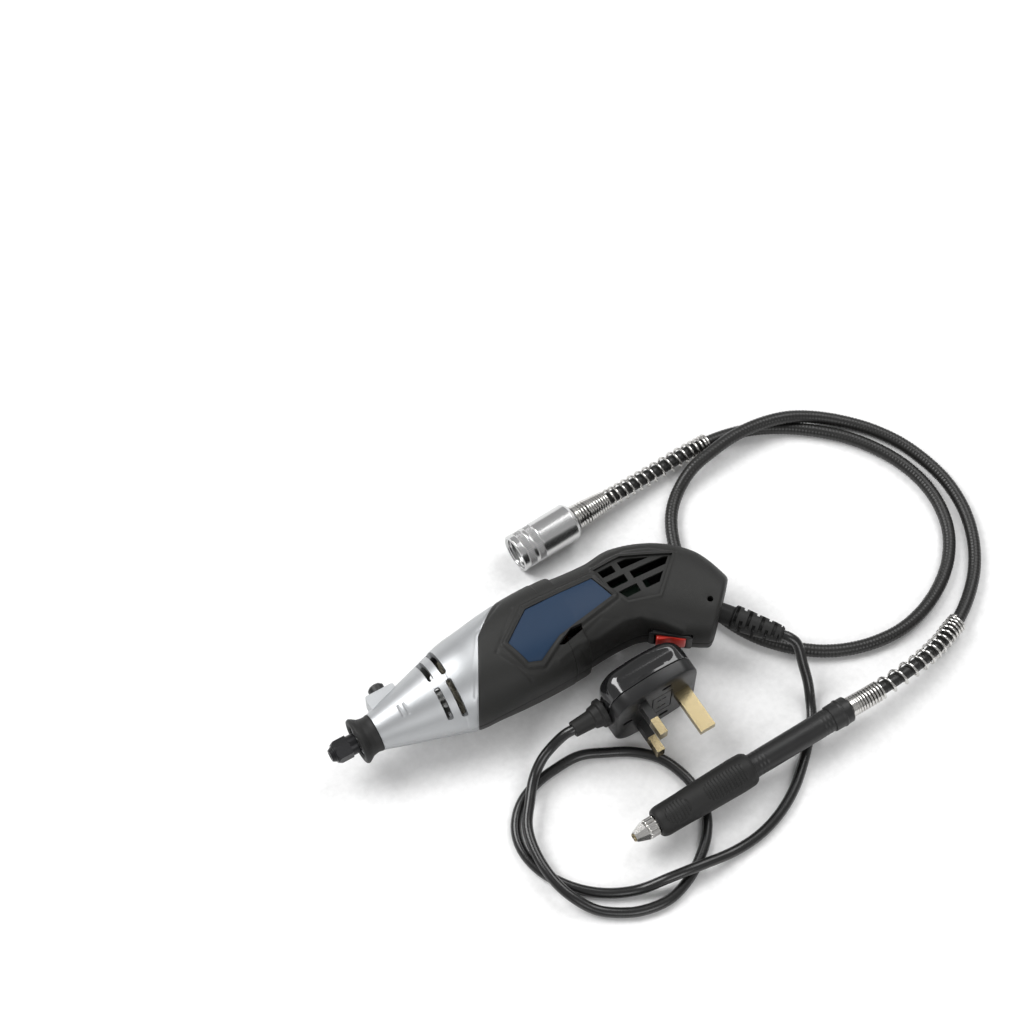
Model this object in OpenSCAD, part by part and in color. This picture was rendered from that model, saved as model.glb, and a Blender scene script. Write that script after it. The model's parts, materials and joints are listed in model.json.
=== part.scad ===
// Rotary tool with a flexible drive shaft, its hand piece, mains lead and plug.
// The tool lies on its right side. X runs from the nose to the rear along the spindle, Y points to
// the tool's top edge, and Z is up. The origin is on the flat that the tool rests on.

/* [Motor housing] */
// Width across the housing at the motor
body_w = 48.4; // [47:0.2:60]
// Thickness of the housing at the motor
body_t = 48; // [47:0.5:58]
// Length from the end of the nose cone to the step in front of the handle
motor_len = 62; // [54:1:76]
// Wall of the housing shells
shell = 2.4; // [1.8:0.1:2.8]

/* [Handle] */
// Width of the handle behind the step
handle_w = 41.6; // [36:0.2:46]
// Length of the handle from the step to the cord end
handle_len = 66; // [60:1:80]

/* [Nose] */
// Length of the conical nose
nose_len = 43; // [40:1:52]
// Diameter at the front of the cone
nose_front_d = 18.6; // [18:0.2:20]
// Diameter of the threaded spigot that takes the nose cap or the shaft coupling
spigot_d = 15.8; // [15:0.1:16.4]
// Length of the spigot
spigot_len = 9; // [7:0.5:12]

/* [Spindle] */
// Diameter of the motor shaft
spindle_d = 8; // [6.7:0.1:9.6]
// Shank diameter that the collet holds
shank_d = 3.2; // [2.4:0.1:3.8]
// Width across the flats of the collet nut
collet_af = 9.8; // [9.6:0.1:10.8]

/* [Motor] */
// Outer diameter of the ball bearings
bearing_od = 19; // [16:0.5:22]
// Width of the ball bearings
bearing_w = 6; // [5:0.5:7]
// Diameter of the armature
armature_d = 25; // [21:0.5:30]
// Length of the armature stack
armature_len = 30; // [25:1:36]
// Gap between armature and field
air_gap = 0.5; // [0.4:0.1:1]
// Diameter of the commutator
commutator_d = 16; // [14:0.5:19]

/* [Controls] */
// Diameter of the spindle lock button
lock_d = 8; // [6.7:0.1:9.6]
// Travel of the spindle lock
lock_travel = 3.2; // [3:0.1:3.6]
// Length of the rocker of the power switch
rocker_len = 15; // [13:0.5:17]
// Width of the rocker
rocker_w = 9.6; // [8:0.2:11]
// Diameter of the speed dial
dial_d = 20; // [18:0.5:22]
// Width of the speed dial
dial_w = 5; // [4:0.5:6]

/* [Mains lead] */
// Diameter of the mains cord
cord_d = 5; // [4.2:0.1:6]
// Length of the strain relief
relief_len = 28; // [25:1:32]

/* [Plug] */
// Width of the plug across its live and neutral pins
plug_w = 47; // [44:0.5:52]
// Length of the plug from the cord edge to the far edge
plug_len = 46; // [44:0.5:50]
// Depth of the plug from pin face to back
plug_depth = 21; // [18:0.5:24]

/* [Flexible shaft] */
// Outer diameter of the sheath
sheath_d = 6.5; // [5.6:0.1:7.4]
// Diameter of the turning core
core_d = 3.2; // [2.7:0.1:3.8]
// Outer diameter of the coupling nut
nut_od = 19.4; // [19:0.1:23]
// Length of the coupling nut
nut_len = 34; // [29:1:40]
// Wire of the bend springs
wire_d = 1.3; // [1.1:0.1:1.5]

/* [Hand piece] */
// Diameter of the grip at its rear
grip_d = 17.2; // [16.4:0.1:20]
// Length of the grip
grip_len = 53; // [46:1:62]
// Diameter of the tube behind the grip
tube_d = 12; // [11.4:0.1:14]
// Length of the tube
tube_len = 50; // [42:1:60]

/* [Hidden] */
$fn = 48;

fit = 0.05;            // radial clearance of a running fit
gap = 0.3;             // clearance between moving surfaces
eps = 0.01;            // overrun of a cut
side_n = 32;           // sides of the housing's sections
rest_flat = 0.5;       // depth of the flat that the tool rests on
axis_z = body_t / 2 - rest_flat;

// Stations along the spindle
cone_end = -33;
nose_x = cone_end - nose_len;
step_x = cone_end + motor_len;
spigot_x = nose_x - spigot_len;
tip_x = spigot_x - 15;
lock_x = nose_x + 10.5;
front_bearing_x = nose_x + 17;
fan_x = cone_end - 3;
fan_len = 7;
fan_d = 33;
armature_x = cone_end + 10;
stator_len = armature_len + 4;
stator_od = body_w - 2 * shell - 4;
commutator_len = 10;
commutator_x = armature_x + armature_len + 8;
rear_bearing_x = commutator_x + commutator_len + 6;
handle_t = 44;         // thickness of the handle just behind the step

// Sections of the housing: [x, y, heading, half width, half thickness, squareness]
bw = body_w / 2;
bt = body_t / 2;
hw = handle_w / 2;
ht = handle_t / 2;
hl = handle_len;
sections = [
  [nose_x, 0, 0, nose_front_d / 2, nose_front_d / 2, 2],
  [cone_end - nose_len / 2, 0, 0, 15.7, 15.7, 2],
  [cone_end, 0.2, 0, bw - 2.4, bt - 2.4, 2.05],
  [cone_end + 13, 0.8, 0, bw - 1.2, bt - 1.2, 2.2],
  [cone_end + 28, 1.4, 0, bw - 0.4, bt - 0.4, 2.6],
  [cone_end + 43, 1.8, 0, bw, bt, 2.8],
  [step_x - 1.5, 1.9, 0, bw - 0.4, bt - 0.2, 2.8],
  [step_x + 2, 2, 0, hw + 0.8, ht + 1.6, 2.8],
  [step_x + 0.3 * hl, 1.8, 0, hw, ht, 2.8],
  [step_x + 0.5 * hl, 1.2, -5, hw + 1.8, ht - 0.9, 2.8],
  [step_x + 0.72 * hl, -6, -20, hw + 3.8, ht - 3, 2.7],
  [step_x + 0.89 * hl, -15.5, -35, hw + 2.2, ht - 5, 2.6],
  [step_x + hl, -27, -45, hw - 3.3, ht - 5.8, 2.4],
  [step_x + hl + 1.4, -28.4, -45, hw - 5.2, ht - 7.4, 2.2]
];
end_heading = -52;     // heading of the strain relief
relief_x = step_x + hl + 1;
relief_y = -28;
relief_r = cord_d / 2 + 2.4;
relief_in = 0.6;       // how far the strain relief reaches into the handle

function dir(a) = [cos(a), sin(a), 0];
function side(a) = [-sin(a), cos(a), 0];
function unit(v) = v / norm(v);
function bend(a, b, c, d, t) =
  b + (c - a) * t / 2 + (2 * a - 5 * b + 4 * c - d) * t * t / 2
  + (3 * b - a - 3 * c + d) * t * t * t / 2;
function at(list, i) = list[max(0, min(len(list) - 1, i))];
// A smooth curve through a list of points, with k steps between neighbours
function smooth(p, k) = [
  for (i = [0:len(p) - 2], j = [0:k - 1])
    bend(at(p, i - 1), p[i], p[i + 1], at(p, i + 2), j / k),
  p[len(p) - 1]
];
function power(v, n) = sign(v) * pow(abs(v), 2 / n);
function section(s, inset) = [
  for (i = [0:side_n - 1])
    let (a = 360 * (i + 0.5) / side_n)
      [s[0], s[1], axis_z] + side(s[2]) * (s[3] - inset) * power(cos(a), s[5])
      + [0, 0, (s[4] - inset) * power(sin(a), s[5])]
];
// Triangles over a stack of rings with n points each, closed at both ends
function skin(rings, n) = concat(
  [for (i = [0:rings - 2], j = [0:n - 1])
    let (a = i * n + j, b = i * n + (j + 1) % n) each [[a + n, b, a], [a + n, b + n, b]]],
  [[for (j = [0:n - 1]) j]],
  [[for (j = [n - 1:-1:0]) (rings - 1) * n + j]]
);
module loft(list, inset) {
  rings = smooth(list, 2);
  points = [for (s = rings) each section(s, inset)];
  polyhedron(points, skin(len(rings), side_n));
}

// Rings of a round tube along a line of points
function tangent(p, i) = unit(at(p, i + 1) - at(p, i - 1));
function ring_at(p, i, r, n, ref) =
  let (t = tangent(p, i), u = unit(cross(ref, t)), v = cross(t, u))
    [for (j = [0:n - 1]) p[i] + r * (cos(360 * j / n) * u + sin(360 * j / n) * v)];
module tube(p, r, n, ref = [0, 0, 1]) {
  points = [for (i = [0:len(p) - 1]) each ring_at(p, i, r, n, ref)];
  polyhedron(points, skin(len(p), n));
}
module hollow_tube(p, r_out, r_in, n) {
  m = len(p);
  outer = [for (i = [0:m - 1]) each ring_at(p, i, r_out, n, [0, 0, 1])];
  inner = [for (i = [0:m - 1]) each ring_at(p, i, r_in, n, [0, 0, 1])];
  k = m * n;
  walls = [for (i = [0:m - 2], j = [0:n - 1])
    let (a = i * n + j, b = i * n + (j + 1) % n)
      each [[a + n, b, a], [a + n, b + n, b],
            [k + a, k + b, k + a + n], [k + b, k + b + n, k + a + n]]];
  e = (m - 1) * n;
  rims = [for (j = [0:n - 1])
    let (b = (j + 1) % n)
      each [[j, b, k + j], [b, k + b, k + j],
            [e + b, e + j, k + e + j], [k + e + b, e + b, k + e + j]]];
  polyhedron(concat(outer, inner), concat(walls, rims));
}
// A wire wound round a line of points; pitch_at gives the turns passed at each point
module winding(path, turns, r, wire, steps) {
  n = len(path) - 1;
  total = turns[n];
  count = floor(total * steps);
  points = [for (i = [0:count])
    let (w = i / steps, k = max([for (j = [0:n - 1]) turns[j] <= w ? j : 0]),
         f = (w - turns[k]) / (turns[k + 1] - turns[k]),
         c = path[k] + f * (path[k + 1] - path[k]),
         t = unit(path[k + 1] - path[k]), u = unit(cross([0, 0, 1], t)), v = cross(t, u))
      c + r * (cos(360 * w) * u + sin(360 * w) * v)];
  tube(points, wire / 2, 5, unit(path[n] - path[0]));
}

// Puts local Z on the tool's axis, starting at x
module on_spindle(x) translate([x, 0, axis_z]) rotate([0, 90, 0]) children();
module on_line(p, heading) translate(p) rotate([0, 0, heading]) rotate([0, 90, 0]) children();
module ring(r_out, r_in, h) difference() {
  cylinder(r = r_out, h = h);
  translate([0, 0, -eps]) cylinder(r = r_in, h = h + 2 * eps);
}

/* Housing */
spindle_r = spindle_d / 2;
bearing_r = bearing_od / 2;
far = 200;
nose_edge = [
  [-far, -far], [cone_end - 2, -far], [cone_end - 1, -24], [cone_end + 18, 10], [cone_end + 46, 34],
  [cone_end + 46, far], [-far, far]
];
label_outline = [
  [-5, -0.5], [10.5, 10.5], [46.5, 9.5], [50.5, -3], [18, -9], [5, -15], [-1, -13]
];
// Vent openings: [x behind the step, y, length]
vents = [
  [23, 7.4, 7.5], [33, 7.4, 11], [25.5, 0.6, 7], [35, 0.6, 20.5], [27.5, -6.4, 7], [37, -6.4, 12]
];
vent_w = 3.4;
// Case screws: [x, y, from the left side, reach from the joint face]
screws = [
  [cone_end + 46, bw - 6.6, 0, 16], [cone_end + 46, -bw + 8, 0, 16],
  [step_x + 0.34 * hl, -hw + 8.8, 0, 14],
  [step_x + hl - 4, -25.7, 1, 12]
];
screw_r = 1.5;
screw_head_r = 2.9;
boss_r = 3.6;
head_depth = 5;

module half_space(up) {
  translate([-far, -far, up ? axis_z : axis_z - far]) cube([2 * far, 2 * far, far]);
}
module shell_cavity() loft([for (i = [1:len(sections) - 2]) sections[i]], shell);
module screw_boss(s) {
  translate([s[0], s[1], axis_z - s[3]]) cylinder(r = boss_r, h = 2 * s[3]);
}
module screw_hole(s) {
  translate([s[0], s[1], axis_z]) rotate([s[2] ? 180 : 0, 0, 0]) translate([0, 0, -far])
    cylinder(r = screw_r, h = far + s[3] - head_depth + 1);
}
module counterbore(s) {
  translate([s[0], s[1], axis_z]) rotate([s[2] ? 180 : 0, 0, 0])
    translate([0, 0, -far]) cylinder(r = screw_head_r, h = far - s[3] + head_depth);
}
module bearing_wall(x, w, r) on_spindle(x) ring(body_w / 2 - shell - 0.4, r, w);
module switch_frame() {
  // Local X along the switch, local Y into the handle, at the middle of the switch face
  translate([step_x + 0.595 * hl, -28.4, axis_z]) rotate([0, 0, -38]) children();
}
bezel_len = rocker_len + 6;
bezel_w = rocker_w + 4.4;
dial_pos = [step_x + hl - 1.6, -2.8, axis_z];
dial_slot = dial_d / 2 + 1;

module housing_half(up) {
  intersection() {
    half_space(up);
    difference() {
      union() {
        difference() {
          loft(sections, 0);
          shell_cavity();
        }
        bearing_wall(rear_bearing_x + 1, bearing_w - 2, bearing_r - 2);
        for (s = screws) screw_boss(s);
      }
      linear_extrude(far) polygon(nose_edge);
      on_spindle(rear_bearing_x) cylinder(r = bearing_r, h = bearing_w);
      translate([-far, -far, -far]) cube([2 * far, 2 * far, far]);
      switch_frame() {
        translate([-bezel_len / 2 + 1, -1, -bezel_w / 2 + 1]) cube([bezel_len - 2, 17, bezel_w - 2]);
        translate([-bezel_len / 2, -12, -bezel_w / 2]) cube([bezel_len, 12, bezel_w]);
      }
      translate(dial_pos - [0, 0, dial_w / 2 + gap]) cylinder(r = dial_slot, h = dial_w + 2 * gap);
      on_line([relief_x, relief_y, axis_z] - relief_in * dir(end_heading), end_heading)
        cylinder(r = relief_r, h = 20);
      for (s = screws) screw_hole(s);
    }
  }
}
module vent_cut(z, h) {
  for (v = vents) translate([step_x + v[0], v[1] - vent_w / 2, z]) cube([v[2], vent_w, h]);
}
module housing_left() color("#2d2d2b") difference() {
  housing_half(true);
  vent_cut(axis_z + ht - 9, 20);
  difference() {
    translate([0, 0, axis_z]) linear_extrude(far) polygon(label_outline);
    loft([for (i = [3:9]) sections[i]], 1);
  }
  for (s = screws) if (s[2] == 1) counterbore(s);
}
module housing_right() color("#2a2a28") difference() {
  housing_half(false);
  vent_cut(-1, 10);
  for (s = screws) if (s[2] == 0) counterbore(s);
}
module label_plate() color("#22405f") difference() {
  intersection() {
    translate([0, 0, axis_z]) linear_extrude(far) polygon(label_outline);
    loft([for (i = [3:9]) sections[i]], 0.2);
  }
  loft([for (i = [2:10]) sections[i]], 1);
}

/* Nose */
neck_r = spigot_d / 2 - 1.5;
collar_r = spindle_r + 4.2;
button_y = 20.5;
boss_top = 15.8;
pin_r = 1.5;
module nose_slot(x, from, to) {
  on_spindle(x) rotate([0, 0, from]) rotate_extrude(angle = to - from, $fn = 72)
    translate([10, 0]) square([far, 2.7]);
}
module nose_housing() color("#c9cbce") difference() {
  union() {
    difference() {
      union() {
        loft(sections, 0);
        // Flat-topped boss of the spindle lock
        translate([lock_x - 7.5, 0, axis_z - 6]) cube([15, boss_top, 12]);
      }
      difference() {
        translate([-far, -far, -far]) cube(2 * far + 1);
        linear_extrude(far) polygon(nose_edge);
      }
      difference() {
        shell_cavity();
        on_spindle(nose_x) cylinder(r = bearing_r + 2.4, h = front_bearing_x + bearing_w - nose_x);
      }
    }
    on_spindle(spigot_x) cylinder(r = spigot_d / 2, h = spigot_len + 4);
    on_spindle(nose_x + 2) cylinder(r1 = 8.5, r2 = bearing_r + 2.4, h = front_bearing_x - nose_x - 2);
  }
  on_spindle(spigot_x - 1) cylinder(r = neck_r, h = spigot_len + 7);
  on_spindle(nose_x + 4) cylinder(r = collar_r + 0.5, h = front_bearing_x - nose_x - 3);
  on_spindle(front_bearing_x) cylinder(r = bearing_r, h = bearing_w + 30);
  translate([lock_x, 4, axis_z]) rotate([-90, 0, 0]) cylinder(r = pin_r + fit, h = 20);
  translate([lock_x, 11, axis_z]) rotate([-90, 0, 0]) cylinder(r = lock_d / 2 + fit, h = 20);
  for (m = [0, 180]) {
    nose_slot(cone_end - 6, 3 + m, 60 + m);
    nose_slot(cone_end - 12.5, 5 + m, 58 + m);
    nose_slot(cone_end - 6, -64 + m, -5 + m);
    nose_slot(cone_end - 12.5, -62 + m, -7 + m);
  }
}
module nose_cap() color("#1d1d1c") on_spindle(spigot_x - 1.5) rotate_extrude($fn = 96) polygon([
  [spigot_d / 2 + fit, 1], [spigot_d / 2 + 1.6, 0], [spigot_d / 2 + 3.3, 0.6],
  [spigot_d / 2 + 3.6, 1.6], [spigot_d / 2 + 3, 2.8], [spigot_d / 2 + 1.5, 5],
  [spigot_d / 2 + 1, 7.5], [nose_front_d / 2, 9.6], [nose_front_d / 2, spigot_len + 1.5 - 0.1],
  [spigot_d / 2 + fit, spigot_len + 1.5 - 0.1]
]);

/* Spindle */
collet_r = shank_d / 2 + 0.9;
nut_thread_r = 3.2;
module collet_nut() color("#232426") on_spindle(tip_x) difference() {
  union() {
    intersection() {
      translate([0, 0, 2]) cylinder(r = collet_af / 2 / cos(30), h = 8, $fn = 6);
      cylinder(r1 = collet_af / 2 - 1.4, r2 = collet_af / 2 + 4, h = 10);
    }
    cylinder(r1 = shank_d / 2 + 1.3, r2 = collet_af / 2 - 0.3, h = 3.2);
    translate([0, 0, 9]) cylinder(r = collet_af / 2, h = 5);
  }
  translate([0, 0, -1]) cylinder(r = shank_d / 2 + 0.25, h = 20);
  translate([0, 0, 3]) cylinder(r = nut_thread_r + fit, h = 20);
}
module collet() color("#8d8f92") on_spindle(tip_x + 3.2) difference() {
  union() {
    cylinder(r1 = collet_r - 0.3, r2 = collet_r, h = 2);
    translate([0, 0, 2]) cylinder(r = collet_r, h = 11);
  }
  translate([0, 0, -1]) cylinder(r = shank_d / 2, h = 20);
  for (a = [0, 90]) rotate([0, 0, a]) translate([-5, -0.2, -1]) cube([10, 0.4, 8]);
}
spindle_end = rear_bearing_x + bearing_w + 2;
module spindle() color("#a9abad") difference() {
  union() {
    on_spindle(tip_x + 5.5) cylinder(r = nut_thread_r, h = spigot_x - tip_x - 4);
    on_spindle(spigot_x) cylinder(r = spindle_r - 0.6, h = lock_x - spigot_x);
    on_spindle(lock_x - 4) cylinder(r = spindle_r, h = commutator_x - lock_x + 14);
    on_spindle(commutator_x + 9) cylinder(r = spindle_r - 0.5, h = spindle_end - commutator_x - 9);
  }
  on_spindle(tip_x) cylinder(r = collet_r + fit, h = 18);
  for (a = [0, 90]) translate([lock_x, 0, axis_z]) rotate([a, 0, 0])
    translate([0, 0, -20]) cylinder(r = pin_r + 0.2, h = 40);
}
module lock_collar() color("#7f8183") difference() {
  on_spindle(lock_x - 3) ring(collar_r, spindle_r, 6);
  for (a = [0, 90]) translate([lock_x, 0, axis_z]) rotate([a, 0, 0])
    translate([0, 0, -20]) cylinder(r = pin_r + 0.2, h = 40);
}
module armature_core() color("#6d6f70") on_spindle(armature_x) difference() {
  ring(armature_d / 2, spindle_r, armature_len);
  for (a = [0:36:359]) rotate([0, 0, a])
    translate([armature_d / 2 - 5, -0.9, -1]) cube([10, 1.8, 80]);
}
module commutator() color("#b5713c") on_spindle(commutator_x) difference() {
  ring(commutator_d / 2, spindle_r, commutator_len);
  for (a = [0:18:359]) rotate([0, 0, a])
    translate([commutator_d / 2 - 0.8, -0.25, -1]) cube([3, 0.5, 80]);
}
module cooling_fan() color("#d8d3c4") on_spindle(fan_x) {
  ring(spindle_r + 2.5, spindle_r, fan_len);
  translate([0, 0, fan_len - 1.4]) ring(fan_d / 2, spindle_r + 2, 1.4);
  for (a = [0:30:359]) rotate([0, 0, a]) translate([spindle_r + 2, -0.6, 0.4])
    cube([fan_d / 2 - spindle_r - 3, 1.2, fan_len - 0.8]);
}
module front_bearing() color("#9c9ea0") on_spindle(front_bearing_x)
  ring(bearing_r, spindle_r + fit, bearing_w);
module rear_bearing() color("#9c9ea0") on_spindle(rear_bearing_x)
  ring(bearing_r, spindle_r - 0.5 + fit, bearing_w);

/* Motor */
module field_stator() color("#74767a") on_spindle(armature_x - 2) intersection() {
  ring(stator_od / 2, armature_d / 2 + air_gap, stator_len);
  translate([-far / 2, -stator_od / 2 + 2.5, 0]) cube([far, stator_od - 5, 200]);
}
module field_coils() color("#a4552a") for (x = [armature_x - 5, armature_x - 2 + stator_len])
  on_spindle(x) intersection() {
    ring(stator_od / 2 - 3, armature_d / 2 + air_gap + 0.6, 3);
    for (s = [-1, 1]) translate([-far / 2, s * 8.5 - 4, -1]) cube([far, 8, 20]);
  }
brush_w = 5;
holder_end = body_w / 2 - shell - 2.8;
module at_brushes() for (s = [1, -1]) translate([commutator_x + commutator_len / 2, 0, axis_z])
  rotate([s * 90, 0, 0]) children();
module brush_holders() color("#c09a4a") at_brushes() difference() {
  translate([-brush_w / 2 - 0.8, -brush_w / 2 - 0.8, commutator_d / 2 + 1.5])
    cube([brush_w + 1.6, brush_w + 1.6, holder_end - commutator_d / 2 - 1.5]);
  translate([-brush_w / 2, -brush_w / 2, 0]) cube([brush_w, brush_w, holder_end - 1]);
}
module carbon_brushes() color("#333333") at_brushes()
  translate([-brush_w / 2, -brush_w / 2, commutator_d / 2 + gap / 2])
    cube([brush_w, brush_w, holder_end - 1 - commutator_d / 2 - gap / 2]);

/* Spindle lock */
module lock_button() color("#34353a") translate([lock_x, 0, axis_z]) rotate([-90, 0, 0]) {
  translate([0, 0, collar_r + 0.7]) cylinder(r = pin_r, h = boss_top - 1 - collar_r);
  translate([0, 0, boss_top - 0.6]) cylinder(r = lock_d / 2, h = button_y - boss_top - 0.4);
  translate([0, 0, button_y - 1]) cylinder(r1 = lock_d / 2, r2 = lock_d / 2 - 1, h = 1);
}
spring_top = boss_top - 0.7;
module lock_spring() color("#b9bbbd") {
  coils = 5;
  winding([[lock_x, 11.3, axis_z], [lock_x, spring_top - 0.3, axis_z + 0.001]], [0, coils],
    pin_r + 0.75, 0.4, 10);
}

/* Power switch and speed dial */
module switch_body() color("#1b1b1b") switch_frame() difference() {
  union() {
    translate([-bezel_len / 2, -1.6, -bezel_w / 2]) cube([bezel_len, 1.6, bezel_w]);
    translate([-bezel_len / 2 + 1, -1, -bezel_w / 2 + 1]) cube([bezel_len - 2, 14, bezel_w - 2]);
  }
  translate([-rocker_len / 2 - gap, -5, -rocker_w / 2 - gap])
    cube([rocker_len + 2 * gap, 12, rocker_w + 2 * gap]);
}
rocker_tilt = 7;
module switch_rocker() color("#e23a28") switch_frame() translate([0, 1, -rocker_w / 2])
  linear_extrude(rocker_w) difference() {
    rotate(rocker_tilt) translate([-rocker_len / 2 + 0.4, -4.6]) square([rocker_len - 0.8, 5.6]);
    translate([rocker_len / 2 - 0.2, -20]) square([10, 40]);
    translate([-rocker_len / 2 - 9.8, -20]) square([10, 40]);
  }
module speed_dial() color("#202020") translate(dial_pos - [0, 0, dial_w / 2]) difference() {
  cylinder(r = dial_d / 2, h = dial_w);
  translate([0, 0, -1]) cylinder(r = 1.5, h = dial_w + 2);
  for (a = [0:15:359]) rotate([0, 0, a])
    translate([dial_d / 2, 0, -1]) cylinder(r = 0.5, h = dial_w + 2);
}
module speed_board() color("#2f6b45") {
  translate([step_x + 0.42 * hl, -3, axis_z - 7]) cube([0.3 * hl, 14, 1.6]);
  translate(dial_pos - [0, 0, dial_w / 2 + 4]) cylinder(r = 1.5 - fit, h = dial_w + 4);
}

/* Screws */
module housing_screws() color("#8a8c8e") for (s = screws) {
  depth = s[3] - head_depth;
  translate([s[0], s[1], axis_z]) rotate([s[2] ? 180 : 0, 0, 0]) difference() {
    translate([0, 0, -depth - 2.2]) union() {
      cylinder(r = screw_head_r - 0.2, h = 2.2);
      cylinder(r = screw_r, h = depth + 8);
    }
    for (a = [0, 90]) rotate([0, 0, a]) translate([-1.6, -0.35, -depth - 3.2]) cube([3.2, 0.7, 2.2]);
  }
}

/* Mains lead */
relief_start = [relief_x, relief_y, axis_z] - relief_in * dir(end_heading);
relief_end = relief_start + (relief_len + 5) * dir(end_heading);
module strain_relief() color("#161616") on_line(relief_start, end_heading) difference() {
  union() {
    cylinder(r = relief_r, h = 9);
    translate([0, 0, 8]) cylinder(r1 = relief_r + 1.2, r2 = cord_d / 2 + 1.4, h = relief_len - 6);
    translate([0, 0, relief_len]) cylinder(r = cord_d / 2 + 1.9, h = 5);
    for (i = [0:5]) translate([0, 0, 11 + i * 3.4]) cylinder(r = relief_r + 1.2 - i * 0.25, h = 1.8);
  }
  translate([0, 0, -1]) cylinder(r = cord_d / 2 - 0.4, h = 5);
}
cord_z = cord_d / 2 + 0.1;
over_z = cord_z + cord_d + 0.4;
plug_z = plug_w / 2;
plug_heading = 2;
plug_pos = [21, -44.5, plug_z];
grip_start = plug_pos - 12 * dir(plug_heading);
cord_route = [
  relief_end, relief_end + 3 * dir(end_heading), relief_end + [4, -6.6, -2.4],
  [118.9, -67.5, 15], [117.8, -75, 8.5], [115.2, -82, 4.2],
  [111.6, -89, cord_z], [105, -97, cord_z], [95, -107, cord_z], [84, -116, cord_z], [71, -123, cord_z],
  [57, -127, cord_z], [42, -128, cord_z + 1], [24, -127, over_z], [9, -125, over_z], [-4, -122, cord_z + 1],
  [-16, -117, cord_z], [-26, -110, cord_z], [-34, -101, cord_z], [-40, -90, cord_z], [-42, -78, cord_z],
  [-39, -67, cord_z], [-31, -58, cord_z], [-20, -53, cord_z], [-8, -51, cord_z], [5, -51, cord_z],
  [17, -56, cord_z], [28, -62, cord_z], [37, -70.5, cord_z], [42, -81, cord_z], [44, -93, cord_z],
  [42, -105, cord_z], [36, -115, cord_z], [27, -123, cord_z], [17, -129, cord_z], [5, -132.5, cord_z],
  [-8, -131, cord_z], [-19, -126, cord_z], [-28, -119, cord_z + 1], [-35, -108, over_z - 1],
  [-38, -96, over_z], [-38, -83, over_z], [-35, -71, over_z], [-28, -61, over_z + 0.5],
  [-21, -52.5, over_z + 1.5], [-14, -47.5, over_z + 5], [-7, -45.2, plug_z - 7], [0, -44.6, plug_z - 2],
  grip_start - 4 * dir(plug_heading), grip_start
];
module mains_cord() color("#191919") tube(smooth(cord_route, 2), cord_d / 2, 8);

/* Plug */
base_t = 7;
far_edge = plug_len;
pin_pitch = 22.2;
line_x = 15;
earth_x = line_x + pin_pitch;
module at_plug() translate(plug_pos) rotate([0, 0, plug_heading]) children();
module plug_outline(r) {
  w = plug_w / 2;
  hull() {
    for (s = [-1, 1]) {
      translate([8, s * (w - 9)]) circle(r = r, $fn = 32);
      translate([far_edge - 7, s * (w - 7)]) circle(r = r, $fn = 32);
      translate([26, s * (w - 5)]) circle(r = r - 2, $fn = 32);
    }
  }
}
module facing_pins() rotate([90, 0, 0]) children();
module plug_base() color("#3a3a3c") at_plug() facing_pins() difference() {
  translate([0, 0, plug_depth / 2 - base_t]) linear_extrude(base_t) plug_outline(6);
  for (s = [-1, 1]) translate([line_x - 2, s * pin_pitch / 2 - 3.2, 0]) cube([4, 6.4, 20]);
  translate([earth_x - 4, -2, 0]) cube([8, 4, 20]);
  translate([(line_x + earth_x) / 2, -13, plug_depth / 2 - 3.4]) rotate([-90, 0, 0])
    cylinder(r = 3.2, h = 26);
}
module plug_cover() color("#0f0f10") at_plug() facing_pins() difference() {
  hull() {
    translate([0, 0, plug_depth / 2 - base_t - 9]) linear_extrude(9) plug_outline(7);
    translate([26, 0, -plug_depth / 2]) linear_extrude(1) scale([1, 0.62]) circle(r = 15, $fn = 32);
  }
  for (s = [-1, 1]) translate([line_x - 2, s * pin_pitch / 2 - 3.2, 2]) cube([4, 6.4, 20]);
  translate([earth_x - 4, -2, 2]) cube([8, 4, 20]);
}
module earth_pin() color("#c9a227") at_plug() facing_pins() difference() {
  translate([earth_x - 4, -2, 2]) cube([8, 4, plug_depth / 2 - 2 + 22.7]);
  translate([earth_x - 5, -3, plug_depth / 2 + 5.4]) cube([10, 1.2, 0.8]);
}
module line_neutral_pins() color("#c9a227") at_plug() facing_pins() for (s = [-1, 1]) {
  translate([line_x - 2, s * pin_pitch / 2 - 3.2, 2]) cube([4, 6.4, plug_depth / 2 - 2]);
  translate([line_x - 1.4, s * pin_pitch / 2 - 2.6, plug_depth / 2]) cube([2.8, 5.2, 9]);
  translate([line_x - 2, s * pin_pitch / 2 - 3.2, plug_depth / 2 + 9]) cube([4, 6.4, 8.7]);
}
module pin_sleeves() color("#151515") at_plug() facing_pins() for (s = [-1, 1]) difference() {
  translate([line_x - 2, s * pin_pitch / 2 - 3.2, plug_depth / 2]) cube([4, 6.4, 9]);
  translate([line_x - 1.4, s * pin_pitch / 2 - 2.6, 0]) cube([2.8, 5.2, 40]);
}
module fuse() color("#d9d9d6") at_plug() facing_pins()
  translate([(line_x + earth_x) / 2, -12.7, plug_depth / 2 - 3.4]) rotate([-90, 0, 0])
    cylinder(r = 3.1, h = 25.4);
module plug_cord_grip() color("#141414") on_line(grip_start, plug_heading) union() {
  cylinder(r1 = cord_d / 2 + 0.8, r2 = cord_d / 2 + 2, h = 10);
  for (i = [0:2]) translate([0, 0, 2 + i * 3]) cylinder(r = cord_d / 2 + 2.2, h = 1.4);
  translate([0, 0, 9.5]) cylinder(r = 7.5, h = 3);
}

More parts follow.
